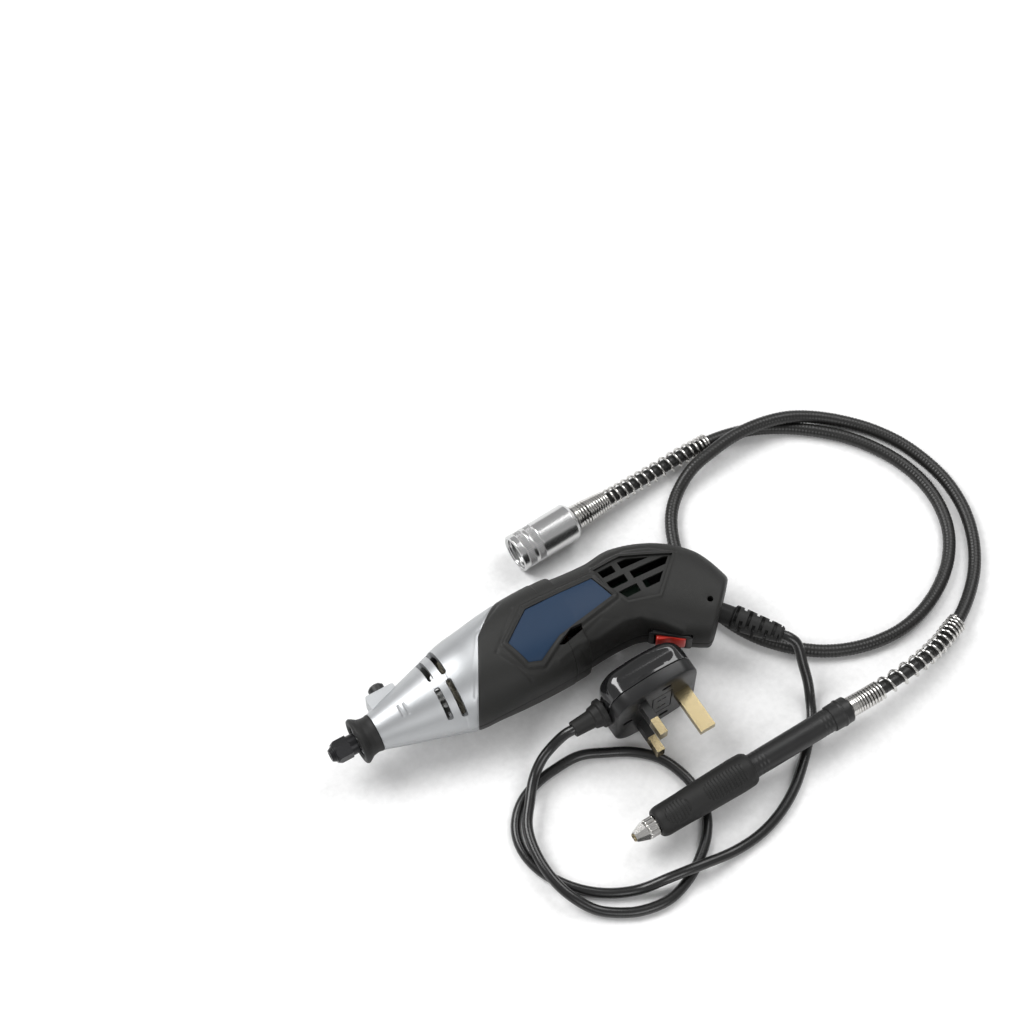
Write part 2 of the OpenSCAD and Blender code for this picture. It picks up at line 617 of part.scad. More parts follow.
/* Coupling of the flexible shaft */
coupling_heading = 4;
nut_thread_d = nut_od - 3.2;
thread_depth = 13;
tip_start = 14.5;        // the core floats, and its tip is drawn back while the shaft lies curved
coupling_pos = [30, 53.2, nut_od / 2];
core_r = core_d / 2;
sheath_r = sheath_d / 2;
sheath_bore_r = core_r + 0.6;
module coupling_nut() color("#d6d7d8") on_line(coupling_pos, coupling_heading) difference() {
  union() {
    translate([0, 0, 0.8]) cylinder(r = nut_od / 2, h = nut_len - 2.4);
    cylinder(r1 = nut_od / 2 - 0.7, r2 = nut_od / 2, h = 0.8);
    translate([0, 0, nut_len - 1.6]) cylinder(r1 = nut_od / 2, r2 = nut_od / 2 - 1.6, h = 1.6);
  }
  translate([0, 0, -1]) cylinder(r = nut_thread_d / 2, h = thread_depth + 1);
  translate([0, 0, -1]) cylinder(r = nut_thread_d / 2 - 0.6, h = nut_len - 8);
  translate([0, 0, -1]) cylinder(r = sheath_r + 1.2 + fit, h = nut_len + 2);
  for (z = [4, 9]) translate([0, 0, z]) ring(nut_od, nut_od / 2 - 0.35, 3.4);
}
module coupling_ferrule() color("#b9bbbd") on_line(coupling_pos, coupling_heading) difference() {
  union() {
    translate([0, 0, nut_len - 13.2]) cylinder(r = sheath_r + 3, h = 3.9);
    translate([0, 0, nut_len - 13.2]) cylinder(r = sheath_r + 1.2, h = 21.2);
    translate([0, 0, nut_len + 0.4]) cylinder(r = sheath_r + 1.9, h = 2);
  }
  translate([0, 0, 0]) cylinder(r = core_r + 1.1, h = 100);
  translate([0, 0, nut_len + 1]) cylinder(r = sheath_r + 0.1, h = 20);
}
module coupling_bush() color("#c49a52") on_line(coupling_pos, coupling_heading)
  translate([0, 0, nut_len - 13.2]) ring(core_r + 1.1, core_r + fit, 8);
module drive_tip() color("#c4c5c7") on_line(coupling_pos, coupling_heading) difference() {
  union() {
    translate([0, 0, tip_start]) cylinder(r = shank_d / 2, h = nut_len - 17 - tip_start);
    translate([0, 0, nut_len - 17.5]) cylinder(r = core_r + 1.4, h = 3.5);
    translate([0, 0, nut_len - 14.2]) cylinder(r = core_r, h = 12);
  }
  translate([0, 0, tip_start - 1]) rotate([0, 0, 45]) translate([1.3, -3, 0]) cube([3, 6, 2.4]);
}

/* Flexible shaft */
function along(p, a, s, z) = p + s * dir(a) + [0, 0, z];
sheath_z = sheath_r + 0.2;
hump_z = sheath_z + sheath_d + 0.5;
hand_heading = 2;
hand_pos = [4, -102, cord_d + grip_d / 2 + 0.6];
chuck_len = 12;
grip_end = chuck_len + grip_len;
tube_end = grip_end + tube_len;
cap_end = tube_end + 6;
sheath_start = along(coupling_pos, coupling_heading, nut_len + 4, 0);
sheath_end = along(hand_pos, hand_heading, cap_end - 3, 0);
sheath_route = [
  sheath_start, along(coupling_pos, coupling_heading, nut_len + 14, -0.4),
  along(coupling_pos, coupling_heading, nut_len + 30, -1.6), [112, 59.2, 7], [130, 60.6, 6],
  [146, 61, 5.4], [160, 59.5, 4.4], [174, 55.5, sheath_z], [187, 48.5, sheath_z],
  [199, 39.5, sheath_z], [210, 29, sheath_z], [219, 16.5, sheath_z], [225.5, 3, sheath_z],
  [229, -12, sheath_z], [228.5, -27, sheath_z], [224, -41, sheath_z], [215.5, -53, sheath_z],
  [204, -62.5, sheath_z], [190, -69.5, sheath_z], [175, -73, sheath_z], [160, -72.5, sheath_z],
  [146, -69, sheath_z], [133.5, -63, sheath_z], [122, -54, sheath_z], [112, -43, sheath_z],
  [104.5, -30, sheath_z], [100, -16, sheath_z], [98.5, -2, sheath_z], [100, 12, sheath_z],
  [104, 25, sheath_z], [110.5, 36.5, sheath_z], [120, 45.5, sheath_z + 0.5], [131.5, 51, sheath_z + 4.5],
  [145, 53.6, hump_z - 0.4], [159, 55.3, hump_z], [173, 54.6, hump_z], [187, 51.7, hump_z - 1],
  [200, 46.5, sheath_z + 3], [212, 38.5, sheath_z + 0.5], [222.5, 27.5, sheath_z],
  [231, 14, sheath_z], [236.5, -1, sheath_z], [239.3, -17, sheath_z], [238, -34, sheath_z],
  [232.5, -50, sheath_z], [223.5, -64, sheath_z], [211.5, -75.5, sheath_z + 0.9],
  [198.5, -84, sheath_z + 1.95], [184, -90, 7.8], [167, -94.4, 10.8],
  along(hand_pos, hand_heading, cap_end + 18, -0.8), along(hand_pos, hand_heading, cap_end + 6, 0), sheath_end
];
module flex_sheath() color("#1c1c1c") hollow_tube(smooth(sheath_route, 1), sheath_r, sheath_bore_r, 8);
core_start = along(coupling_pos, coupling_heading, nut_len - 2, 0);
core_end = along(hand_pos, hand_heading, tube_end - 10, 0);
module flex_core() color("#9a9c9e") tube(concat([core_start], smooth(sheath_route, 1), [core_end]), core_r, 6);

spring_r = sheath_r + 0.55 + wire_d / 2;
module coupling_spring() color("#cfd0d2") winding(
  concat([along(coupling_pos, coupling_heading, nut_len + 8.6, -0.1)], [for (i = [2:5]) sheath_route[i]]),
  [0, 13, 17.6, 22, 27], spring_r, wire_d, 10);
module handpiece_spring() color("#cfd0d2") {
  n = len(sheath_route);
  winding([
    along(hand_pos, hand_heading, cap_end + 0.6, 0), sheath_route[n - 3], sheath_route[n - 4],
    sheath_route[n - 5], sheath_route[n - 6] + [0.3, -0.2, 0]
  ], [0, 12.5, 17, 21.6, 27], spring_r, wire_d, 10);
}

/* Hand piece */
tube_r = tube_d / 2;
grip_r = grip_d / 2;
hand_bearing_r = tube_r - 1.4;
module on_hand(s) on_line(hand_pos, hand_heading) translate([0, 0, s]) children();
module handpiece_grip() color("#1a1a1b") on_hand(chuck_len) difference() {
  rotate_extrude($fn = 96) polygon([
    [0, 0], [6.2, 0], [7, 0.8], [7.5, 3], [7.7, 14], [8, 22], [grip_r - 0.5, 30], [grip_r, grip_len - 8],
    [grip_r - 0.3, grip_len - 2], [grip_r - 1.4, grip_len], [0, grip_len]
  ]);
  translate([0, 0, -1]) cylinder(r = 5.4, h = 3);
  translate([0, 0, -1]) cylinder(r = tube_r - 1.4, h = grip_len + 2);
  translate([0, 0, grip_len - 10]) cylinder(r = tube_r, h = 20);
}
module handpiece_tube() color("#1f1f20") on_hand(grip_end - 10) difference() {
  cylinder(r = tube_r, h = tube_len + 10);
  translate([0, 0, -1]) cylinder(r = hand_bearing_r, h = tube_len + 20);
}
module handpiece_end_cap() color("#2a2a2b") on_hand(tube_end) difference() {
  union() {
    cylinder(r = tube_r + 0.8, h = 4);
    cylinder(r = sheath_r + 1.6, h = 6);
  }
  translate([0, 0, -1]) cylinder(r = core_r + 0.6, h = 20);
  translate([0, 0, cap_end - 3 - tube_end]) cylinder(r = sheath_r, h = 20);
}
hand_spindle_r = 2.5;
module handpiece_bearings() color("#9c9ea0") for (s = [chuck_len + 5, grip_end - 14, tube_end - 18])
  on_hand(s) ring(tube_r - 1.4, hand_spindle_r + fit, 4);
module handpiece_spindle() color("#a9abad") on_hand(0) difference() {
  union() {
    translate([0, 0, 4]) cylinder(r = 3.3, h = chuck_len - 3);
    translate([0, 0, chuck_len + 1]) cylinder(r = hand_spindle_r, h = tube_end - 12 - chuck_len);
  }
  cylinder(r = shank_d / 2 + 0.5, h = chuck_len - 1);
  translate([0, 0, tube_end - 16]) cylinder(r = core_r + fit, h = 20);
}
module chuck_nut() color("#cccdcf") on_hand(0) difference() {
  union() {
    cylinder(r1 = 2.6, r2 = 4.7, h = 6);
    translate([0, 0, 6]) cylinder(r = 5, h = chuck_len - 6.3);
  }
  translate([0, 0, -1]) cylinder(r = 2.1, h = 20);
  translate([0, 0, 3.6]) cylinder(r = 3.3 + fit, h = 20);
  for (a = [0:45:359]) rotate([0, 0, a]) translate([4.8, 0, 7]) cylinder(r = 0.5, h = 20);
}
module chuck_jaws() color("#c9a048") on_hand(-0.6) difference() {
  cylinder(r = 2.05, h = 3.4);
  translate([0, 0, -1]) cylinder(r = shank_d / 2, h = 20);
  for (a = [0, 60, 120]) rotate([0, 0, a]) translate([-5, -0.15, -1]) cube([10, 0.3, 3.4]);
}

housing_left();
housing_right();
nose_housing();
label_plate();
housing_screws();
nose_cap();
collet_nut();
collet();
spindle();
lock_collar();
armature_core();
commutator();
cooling_fan();
front_bearing();
rear_bearing();
field_stator();
field_coils();
brush_holders();
carbon_brushes();
lock_button();
lock_spring();
switch_body();
switch_rocker();
speed_dial();
speed_board();
strain_relief();
mains_cord();
plug_cord_grip();
plug_cover();
plug_base();
earth_pin();
line_neutral_pins();
pin_sleeves();
fuse();
coupling_nut();
coupling_ferrule();
coupling_bush();
drive_tip();
coupling_spring();
flex_sheath();
flex_core();
handpiece_spring();
handpiece_end_cap();
handpiece_tube();
handpiece_grip();
handpiece_bearings();
handpiece_spindle();
chuck_nut();
chuck_jaws();
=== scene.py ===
import bmesh
import bpy
import json
import math
import numpy as np
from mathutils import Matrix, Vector


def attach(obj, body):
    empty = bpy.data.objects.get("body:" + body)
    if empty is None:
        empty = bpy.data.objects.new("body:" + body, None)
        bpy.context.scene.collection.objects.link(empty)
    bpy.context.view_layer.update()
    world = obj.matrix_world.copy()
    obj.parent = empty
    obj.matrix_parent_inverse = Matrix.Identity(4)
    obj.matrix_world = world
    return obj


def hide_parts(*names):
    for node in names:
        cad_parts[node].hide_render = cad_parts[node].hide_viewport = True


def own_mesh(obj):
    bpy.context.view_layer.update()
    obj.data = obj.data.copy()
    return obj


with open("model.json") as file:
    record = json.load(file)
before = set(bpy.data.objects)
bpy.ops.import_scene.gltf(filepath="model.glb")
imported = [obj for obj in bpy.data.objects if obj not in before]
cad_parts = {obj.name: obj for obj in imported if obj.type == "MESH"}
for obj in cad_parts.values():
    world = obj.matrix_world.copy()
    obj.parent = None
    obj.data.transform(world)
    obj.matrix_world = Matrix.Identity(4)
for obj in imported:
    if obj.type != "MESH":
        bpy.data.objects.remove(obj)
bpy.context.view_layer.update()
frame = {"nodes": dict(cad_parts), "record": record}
nodes = frame["nodes"]
slotOfNode = {part["node"]: part["material_slot"] for part in frame["record"]["subparts"]}
mm = 0.001
axisZ = 23.5        # height of the spindle, mm
print("frame loaded")

# Camera: where it stands and what it looks at, in mm
camera = {"place": (-229.4954, -393.3228, 1069.2079), "aim": (42.8989, 78.4780, 0), "lens": 84.375}


def makeCamera(c):
    data = bpy.data.cameras.new("camera")
    data.sensor_width, data.lens = 36, c["lens"]
    data.clip_start, data.clip_end = 0.01, 20
    cam = bpy.data.objects.new("camera", data)
    bpy.context.collection.objects.link(cam)
    place, aim = Vector(c["place"]) * mm, Vector(c["aim"]) * mm
    cam.location = place
    cam.rotation_euler = (aim - place).to_track_quat("-Z", "Y").to_euler()
    bpy.context.scene.camera = cam


makeCamera(camera)


# Numbers into shapes
def direction(heading):
    a = math.radians(heading)
    return np.array([math.cos(a), math.sin(a), 0.0])


def sideways(heading):
    a = math.radians(heading)
    return np.array([-math.sin(a), math.cos(a), 0.0])


def unit(v):
    return v / np.linalg.norm(v, axis=-1, keepdims=True)


# Catmull-Rom curve: the value at t between rows i and i+1 blends rows i-1 to i+2 with cubic weights
def curveThrough(rows, t):
    rows = np.asarray(rows, float)
    t = np.asarray(t, float)
    last = len(rows) - 1
    i = np.clip(np.floor(t).astype(int), 0, last - 1)
    f = (t - i)[..., None]
    a, b, c, d = (rows[np.clip(i + k, 0, last)] for k in (-1, 0, 1, 2))
    return b + (c - a) * f / 2 + (2 * a - 5 * b + 4 * c - d) * f**2 / 2 + (3 * b - a - 3 * c + d) * f**3 / 2


# Points evenly spaced along a line: arc length is summed, then read back at even steps
def evenly(points, step):
    length = np.concatenate([[0], np.cumsum(np.linalg.norm(np.diff(points, axis=0), axis=1))])
    marks = np.linspace(0, length[-1], max(2, int(round(length[-1] / step)) + 1))
    return np.stack([np.interp(marks, length, points[:, k]) for k in range(3)], -1), marks


def smoothPath(route, step):
    t = np.linspace(0, len(route) - 1, 24 * len(route))
    return evenly(curveThrough(route, t), step)


# Quads over a grid of rows and columns, joined round where a loop is asked for
def gridFaces(rows, cols, loopRows=False):
    i = np.arange(rows if loopRows else rows - 1)[:, None]
    j = np.arange(cols)[None, :]
    i2, j2 = (i + 1) % rows, (j + 1) % cols
    return np.stack([i * cols + j, i * cols + j2, i2 * cols + j2, i2 * cols + j], -1).reshape(-1, 4).tolist()


def pieceFrom(name, verts, faces, tidyNormals=True, sharp=32):
    mesh = bpy.data.meshes.new(name)
    mesh.from_pydata((np.asarray(verts, float).reshape(-1, 3) * mm).tolist(), [], faces)
    if tidyNormals:
        b = bmesh.new()
        b.from_mesh(mesh)
        bmesh.ops.recalc_face_normals(b, faces=b.faces)
        b.to_mesh(mesh)
        b.free()
    mesh.update()
    mesh.polygons.foreach_set("use_smooth", np.ones(len(mesh.polygons), bool))
    mesh.set_sharp_from_angle(angle=math.radians(sharp))
    piece = bpy.data.objects.new(name, mesh)
    bpy.context.collection.objects.link(piece)
    return piece


# A closed solid over rings of points, with a flat face on each end
def closedSolid(name, rings, sharp=32, loopRows=False):
    rows, cols = rings.shape[:2]
    faces = gridFaces(rows, cols, loopRows)
    if not loopRows:
        faces += [list(range(cols)), list(range((rows - 1) * cols, rows * cols))[::-1]]
    return pieceFrom(name, rings, faces, sharp=sharp)


# Corners of a closed profile turned into short arcs: each is a quadratic blend between two points near it
def rounded(points, radius, steps=4):
    p = np.array(points, float)
    before, after = np.roll(p, 1, 0) - p, np.roll(p, -1, 0) - p
    lb, la = (np.linalg.norm(v, axis=1, keepdims=True) for v in (before, after))
    r = np.minimum(radius, 0.45 * np.minimum(lb, la))
    a, c = p + before / lb * r, p + after / la * r
    t = np.linspace(0, 1, steps)[None, :, None]
    out = (1 - t) ** 2 * a[:, None] + 2 * t * (1 - t) * p[:, None] + t**2 * c[:, None]
    return out.reshape(-1, 2)


# Points between those of a closed profile, so that a pattern along it has enough rows
def denser(profile, step):
    p = np.vstack([profile, profile[:1]])
    length = np.concatenate([[0], np.cumsum(np.linalg.norm(np.diff(p, axis=0), axis=1))])
    marks = np.arange(0, length[-1], step)
    marks = np.unique(np.concatenate([marks, length[:-1]]))
    return np.stack([np.interp(marks, length, p[:, 0]), np.interp(marks, length, p[:, 1])], -1)


# A closed profile of (distance along, radius) carried round a line; ripple may change the radius by place
def turned(name, profile, origin, heading, around=96, ripple=None, sharp=32):
    profile = np.asarray(profile, float)
    s = np.repeat(profile[:, :1], around, 1)
    r = np.repeat(profile[:, 1:], around, 1)
    a = np.repeat(np.arange(around)[None, :] * 2 * math.pi / around, len(profile), 0)
    if ripple:
        r = ripple(s, a, r)
    rings = (np.array(origin, float) + s[..., None] * direction(heading)
             + (r * np.cos(a))[..., None] * sideways(heading) + (r * np.sin(a))[..., None] * np.array([0, 0, 1.0]))
    return closedSolid(name, rings, sharp, loopRows=True)


# A round tube along a path: rings of radius r in the plane across the path at each point
def tubeRings(path, radius, around, up=(0, 0, 1.0)):
    t = unit(np.gradient(path, axis=0))
    u = unit(np.cross(np.array(up, float), t))
    v = np.cross(t, u)
    a = np.arange(around) * 2 * math.pi / around
    r = np.broadcast_to(np.asarray(radius, float), (len(path),))[:, None, None]
    return path[:, None] + r * (np.cos(a)[None, :, None] * u[:, None] + np.sin(a)[None, :, None] * v[:, None])


# A flat outline in X and Y pulled up between two heights
def prism(name, outline, low, high, place=(0, 0, 0), heading=0):
    o = np.array(outline, float)
    rings = np.stack([np.column_stack([o, np.full(len(o), z)]) for z in (low, high)])
    turn = np.stack([direction(heading), sideways(heading), [0, 0, 1.0]])
    return closedSolid(name, rings @ turn + np.array(place, float))


def boxOutline(x0, x1, y0, y1, radius=0.0, steps=5):
    corners = [(x0, y0), (x1, y0), (x1, y1), (x0, y1)]
    return rounded(corners, radius, steps) if radius else np.array(corners, float)


# Cuts, joins or keeps the shared part of closed solids; the tools are used up
def carve(piece, tools, way="DIFFERENCE", sharp=32):
    for tool in tools:
        change = piece.modifiers.new("carve", "BOOLEAN")
        change.operation, change.solver, change.object = way, "MANIFOLD", tool
        graph = bpy.context.evaluated_depsgraph_get()
        mesh = bpy.data.meshes.new_from_object(piece.evaluated_get(graph))
        if len(mesh.polygons) == 0:
            print("carve left nothing:", piece.name, tool.name)
        piece.modifiers.clear()
        piece.data = mesh
        bpy.data.objects.remove(tool)
    piece.data.polygons.foreach_set("use_smooth", np.ones(len(piece.data.polygons), bool))
    piece.data.set_sharp_from_angle(angle=math.radians(sharp))
    return piece


# Finishes
def addNode(tree, kind, **values):
    node = tree.nodes.new(kind)
    for key, value in values.items():
        if key in ("operation", "blend_type", "data_type", "noise_dimensions", "feature", "bands_direction",
                   "wave_type", "clamp", "distance_metric"):
            setattr(node, key, value)
        else:
            node.inputs[key.replace("_", " ")].default_value = value
    return node


def newGroup(name, inputs, outputs):
    tree = bpy.data.node_groups.new(name, "ShaderNodeTree")
    for label, kind, value in inputs:
        socket = tree.interface.new_socket(label, in_out="INPUT", socket_type=kind)
        socket.default_value = value
    for label, kind in outputs:
        tree.interface.new_socket(label, in_out="OUTPUT", socket_type=kind)
    return tree, tree.nodes.new("NodeGroupInput"), tree.nodes.new("NodeGroupOutput")


# Fine moulding grain: a small noise for the skin of the surface, a large one for slow changes of tone
def makeGrain():
    tree, start, end = newGroup("surfaceGrain", [("Vector", "NodeSocketVector", (0, 0, 0)),
                                ("Scale", "NodeSocketFloat", 1500)], [("Height", "NodeSocketFloat"),
                                                                  ("Tone", "NodeSocketFloat")])
    fine = addNode(tree, "ShaderNodeTexNoise", Detail=3, Roughness=0.6)
    slow = addNode(tree, "ShaderNodeTexNoise", Scale=38, Detail=4, Roughness=0.55)
    for node in (fine, slow):
        tree.links.new(start.outputs["Vector"], node.inputs["Vector"])
    tree.links.new(start.outputs["Scale"], fine.inputs["Scale"])
    tree.links.new(fine.outputs["Fac"], end.inputs["Height"])
    tree.links.new(slow.outputs["Fac"], end.inputs["Tone"])
    return tree


# Handling wear: a noise drawn out along one way, kept only above a threshold, broken up by a second noise
def makeWear():
    tree, start, end = newGroup("handlingWear", [("Vector", "NodeSocketVector", (0, 0, 0)),
                                ("Scale", "NodeSocketFloat", 60), ("Amount", "NodeSocketFloat", 0.2)],
                    [("Mask", "NodeSocketFloat")])
    stretch = addNode(tree, "ShaderNodeMapping", Rotation=(0.3, 0.2, 0.7), Scale=(0.35, 6, 1.3))
    lines = addNode(tree, "ShaderNodeTexNoise", Detail=5, Roughness=0.7)
    patches = addNode(tree, "ShaderNodeTexNoise", Scale=45, Detail=2)
    tree.links.new(start.outputs["Vector"], stretch.inputs["Vector"])
    tree.links.new(stretch.outputs["Vector"], lines.inputs["Vector"])
    tree.links.new(start.outputs["Scale"], lines.inputs["Scale"])
    tree.links.new(start.outputs["Vector"], patches.inputs["Vector"])
    keep = addNode(tree, "ShaderNodeMapRange")
    keep.inputs["From Min"].default_value, keep.inputs["From Max"].default_value = 0.6, 0.72
    tree.links.new(lines.outputs["Fac"], keep.inputs["Value"])
    some = addNode(tree, "ShaderNodeMath", operation="MULTIPLY")
    tree.links.new(keep.outputs["Result"], some.inputs[0])
    tree.links.new(patches.outputs["Fac"], some.inputs[1])
    scaled = addNode(tree, "ShaderNodeMath", operation="MULTIPLY")
    tree.links.new(some.outputs[0], scaled.inputs[0])
    tree.links.new(start.outputs["Amount"], scaled.inputs[1])
    tree.links.new(scaled.outputs[0], end.inputs["Mask"])
    return tree


# Turned or moulded lines: fine bands square to one direction, softened by noise
def makeLines():
    tree, start, end = newGroup("toolLines", [("Vector", "NodeSocketVector", (0, 0, 0)),
                                ("Scale", "NodeSocketFloat", 600)], [("Height", "NodeSocketFloat")])
    wave = addNode(tree, "ShaderNodeTexWave", Distortion=1.5, Detail=2)
    wave.inputs["Detail Scale"].default_value = 2
    tree.links.new(start.outputs["Vector"], wave.inputs["Vector"])
    tree.links.new(start.outputs["Scale"], wave.inputs["Scale"])
    tree.links.new(wave.outputs["Fac"], end.inputs["Height"])
    return tree


grainGroup, wearGroup, lineGroup = makeGrain(), makeWear(), makeLines()


def placeGroup(tree, group, vector, **values):
    node = tree.nodes.new("ShaderNodeGroup")
    node.node_tree = group
    tree.links.new(vector, node.inputs["Vector"])
    for key, value in values.items():
        node.inputs[key].default_value = value
    return node


def mixColour(tree, factor, first, second, blend="MIX"):
    node = tree.nodes.new("ShaderNodeMix")
    node.data_type, node.blend_type = "RGBA", blend
    for index, value in ((6, first), (7, second)):
        if isinstance(value, tuple):
            node.inputs[index].default_value = (*value, 1)
        else:
            tree.links.new(value, node.inputs[index])
    if isinstance(factor, float):
        node.inputs[0].default_value = factor
    else:
        tree.links.new(factor, node.inputs[0])
    return node.outputs[2]


# One finish: grain and slow tone from noise, wear lines in another colour, and turned lines where asked
def makeFinish(name, base, shade, metal=0.0, rough=0.5, spread=0.12, grain=1500, depth=0.15, wear=0.2,
               wearScale=60, worn=None, coat=0.0, lines=0, turn=0, lineDepth=0.1, specular=0.5):
    material = bpy.data.materials.new(name)
    material.use_nodes = True
    tree = material.node_tree
    shader = tree.nodes["Principled BSDF"]
    where = tree.nodes.new("ShaderNodeTexCoord").outputs["Object"]
    fine = placeGroup(tree, grainGroup, where, Scale=grain)
    rub = placeGroup(tree, wearGroup, where, Scale=wearScale, Amount=wear)
    colour = mixColour(tree, fine.outputs["Tone"], base, shade)
    speck = tree.nodes.new("ShaderNodeMapRange")
    speck.inputs["To Min"].default_value, speck.inputs["To Max"].default_value = 0.88, 1.1
    tree.links.new(fine.outputs["Height"], speck.inputs["Value"])
    tinted = tree.nodes.new("ShaderNodeVectorMath")
    tinted.operation = "SCALE"
    tree.links.new(colour, tinted.inputs[0])
    tree.links.new(speck.outputs["Result"], tinted.inputs["Scale"])
    rubbed = worn or tuple(min(1, c * 1.6 + 0.02) for c in base)
    colour = mixColour(tree, rub.outputs["Mask"], tinted.outputs[0], rubbed)
    tree.links.new(colour, shader.inputs["Base Color"])
    roughness = tree.nodes.new("ShaderNodeMapRange")
    roughness.inputs["To Min"].default_value = rough - spread
    roughness.inputs["To Max"].default_value = rough + spread
    tree.links.new(fine.outputs["Tone"], roughness.inputs["Value"])
    tree.links.new(roughness.outputs["Result"], shader.inputs["Roughness"])
    shader.inputs["Metallic"].default_value = metal
    shader.inputs["Specular IOR Level"].default_value = specular
    shader.inputs["Coat Weight"].default_value = coat
    shader.inputs["Coat Roughness"].default_value = 0.12
    bump = tree.nodes.new("ShaderNodeBump")
    bump.inputs["Strength"].default_value, bump.inputs["Distance"].default_value = depth, 0.0004
    tree.links.new(fine.outputs["Height"], bump.inputs["Height"])
    normal = bump
    if lines:
        spun = addNode(tree, "ShaderNodeMapping", Rotation=(0, 0, math.radians(-turn)))
        tree.links.new(where, spun.inputs["Vector"])
        bands = placeGroup(tree, lineGroup, spun.outputs["Vector"], Scale=lines)
        normal = tree.nodes.new("ShaderNodeBump")
        normal.inputs["Strength"].default_value, normal.inputs["Distance"].default_value = lineDepth, 0.0003
        tree.links.new(bands.outputs["Height"], normal.inputs["Height"])
        tree.links.new(bump.outputs["Normal"], normal.inputs["Normal"])
    tree.links.new(normal.outputs["Normal"], shader.inputs["Normal"])
    return material


finishes = {
    "black_shell": dict(base=(0.0105, 0.0105, 0.0098), shade=(0.0155, 0.0155, 0.0145), rough=0.54, spread=0.07, grain=2600,
                        depth=0.26, wear=0.12, specular=0.32),
    "silver_shell": dict(base=(0.37, 0.38, 0.39), shade=(0.46, 0.47, 0.48), metal=0.75, rough=0.42, spread=0.05,
                         grain=5200, depth=0.1, wear=0.08, worn=(0.8, 0.8, 0.8)),
    "label": dict(base=(0.0045, 0.020, 0.051), shade=(0.007, 0.028, 0.066), rough=0.5, grain=3800, depth=0.05,
                  wear=0.06, specular=0.3),
    "rubber_black": dict(base=(0.0085, 0.0085, 0.0085), shade=(0.014, 0.0138, 0.0132), rough=0.55, grain=1900,
                         depth=0.22, wear=0.2, specular=0.32),
    "black_oxide": dict(base=(0.012, 0.012, 0.013), shade=(0.026, 0.026, 0.028), metal=0.6, rough=0.34, grain=1800,
                        depth=0.12, wear=0.5, worn=(0.2, 0.2, 0.2), specular=0.4),
    "steel": dict(base=(0.50, 0.50, 0.49), shade=(0.38, 0.38, 0.38), metal=1.0, rough=0.3, grain=2200, depth=0.06,
                  wear=0.4),
    "nickel": dict(base=(0.70, 0.69, 0.67), shade=(0.58, 0.57, 0.55), metal=1.0, rough=0.17, spread=0.06, grain=2400,
                   depth=0.03, wear=0.3),
    "spun_nickel": dict(base=(0.66, 0.66, 0.66), shade=(0.58, 0.58, 0.58), metal=1.0, rough=0.24, spread=0.04,
                        grain=2600, depth=0.05, wear=0.2),
    "brass": dict(base=(0.50, 0.42, 0.25), shade=(0.40, 0.32, 0.18), metal=1.0, rough=0.25, spread=0.07, grain=1500,
                  depth=0.06, wear=0.5, worn=(0.8, 0.66, 0.36)),
    "copper": dict(base=(0.62, 0.26, 0.12), shade=(0.45, 0.17, 0.08), metal=1.0, rough=0.35, grain=900, depth=0.2),
    "laminations": dict(base=(0.30, 0.31, 0.32), shade=(0.20, 0.21, 0.22), metal=0.9, rough=0.45, lines=900,
                        lineDepth=0.5),
    "carbon": dict(base=(0.03, 0.03, 0.03), shade=(0.06, 0.06, 0.06), rough=0.55, grain=1200, depth=0.3),
    "fan_plastic": dict(base=(0.30, 0.28, 0.22), shade=(0.26, 0.24, 0.19), rough=0.45),
    "red_rocker": dict(base=(0.62, 0.028, 0.014), shade=(0.52, 0.022, 0.012), rough=0.3, spread=0.06, grain=1600,
                       depth=0.05, coat=0.3),
    "dark_plastic": dict(base=(0.0095, 0.0095, 0.0098), shade=(0.0155, 0.0155, 0.0155), rough=0.4, grain=2200,
                         depth=0.15, specular=0.4),
    "circuit_board": dict(base=(0.006, 0.03, 0.013), shade=(0.009, 0.04, 0.018), rough=0.4, grain=500, depth=0.2,
                          wear=0.5, worn=(0.2, 0.12, 0.06)),
    "cord_pvc": dict(base=(0.007, 0.007, 0.007), shade=(0.012, 0.012, 0.012), rough=0.27, spread=0.07, grain=1400,
                     depth=0.06, wear=0.12),
    "plug_gloss": dict(base=(0.0045, 0.0045, 0.005), shade=(0.008, 0.008, 0.0085), rough=0.12, spread=0.05, grain=900,
                       depth=0.03, wear=0.1, coat=0.6),
    "plug_face": dict(base=(0.006, 0.006, 0.0062), shade=(0.011, 0.011, 0.0115), rough=0.34, grain=1700, depth=0.2,
                      specular=0.4),
    "ceramic": dict(base=(0.72, 0.71, 0.66), shade=(0.66, 0.65, 0.60), rough=0.25, coat=0.4),
    "sheath_rubber": dict(base=(0.0085, 0.0085, 0.008), shade=(0.014, 0.0135, 0.013), rough=0.36, spread=0.08,
                          grain=1300, depth=0.1, wear=0.18, specular=0.42),
}
materials = {name: makeFinish(name, **settings) for name, settings in finishes.items()}


def dress(piece, slotName, body="root", stands=(), finish=None):
    piece.data.materials.clear()
    piece.data.materials.append(materials[finish or slotName])
    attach(piece, body)
    if stands:
        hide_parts(*stands)
    return piece


for nodeName, node in nodes.items():
    for place in node.material_slots:
        place.material = materials[slotOfNode[nodeName]]
print("finishes made")


# Mains cord and strain relief, in mm
cord = {"radius": 2.5, "rest": 2.6, "over": 8.0, "reliefStart": (95.63, -27.53, 23.5), "heading": -52,
        "reliefLength": 33, "plug": (21, -44.5, 23.5), "plugHeading": 2, "around": 16, "step": 1.6}


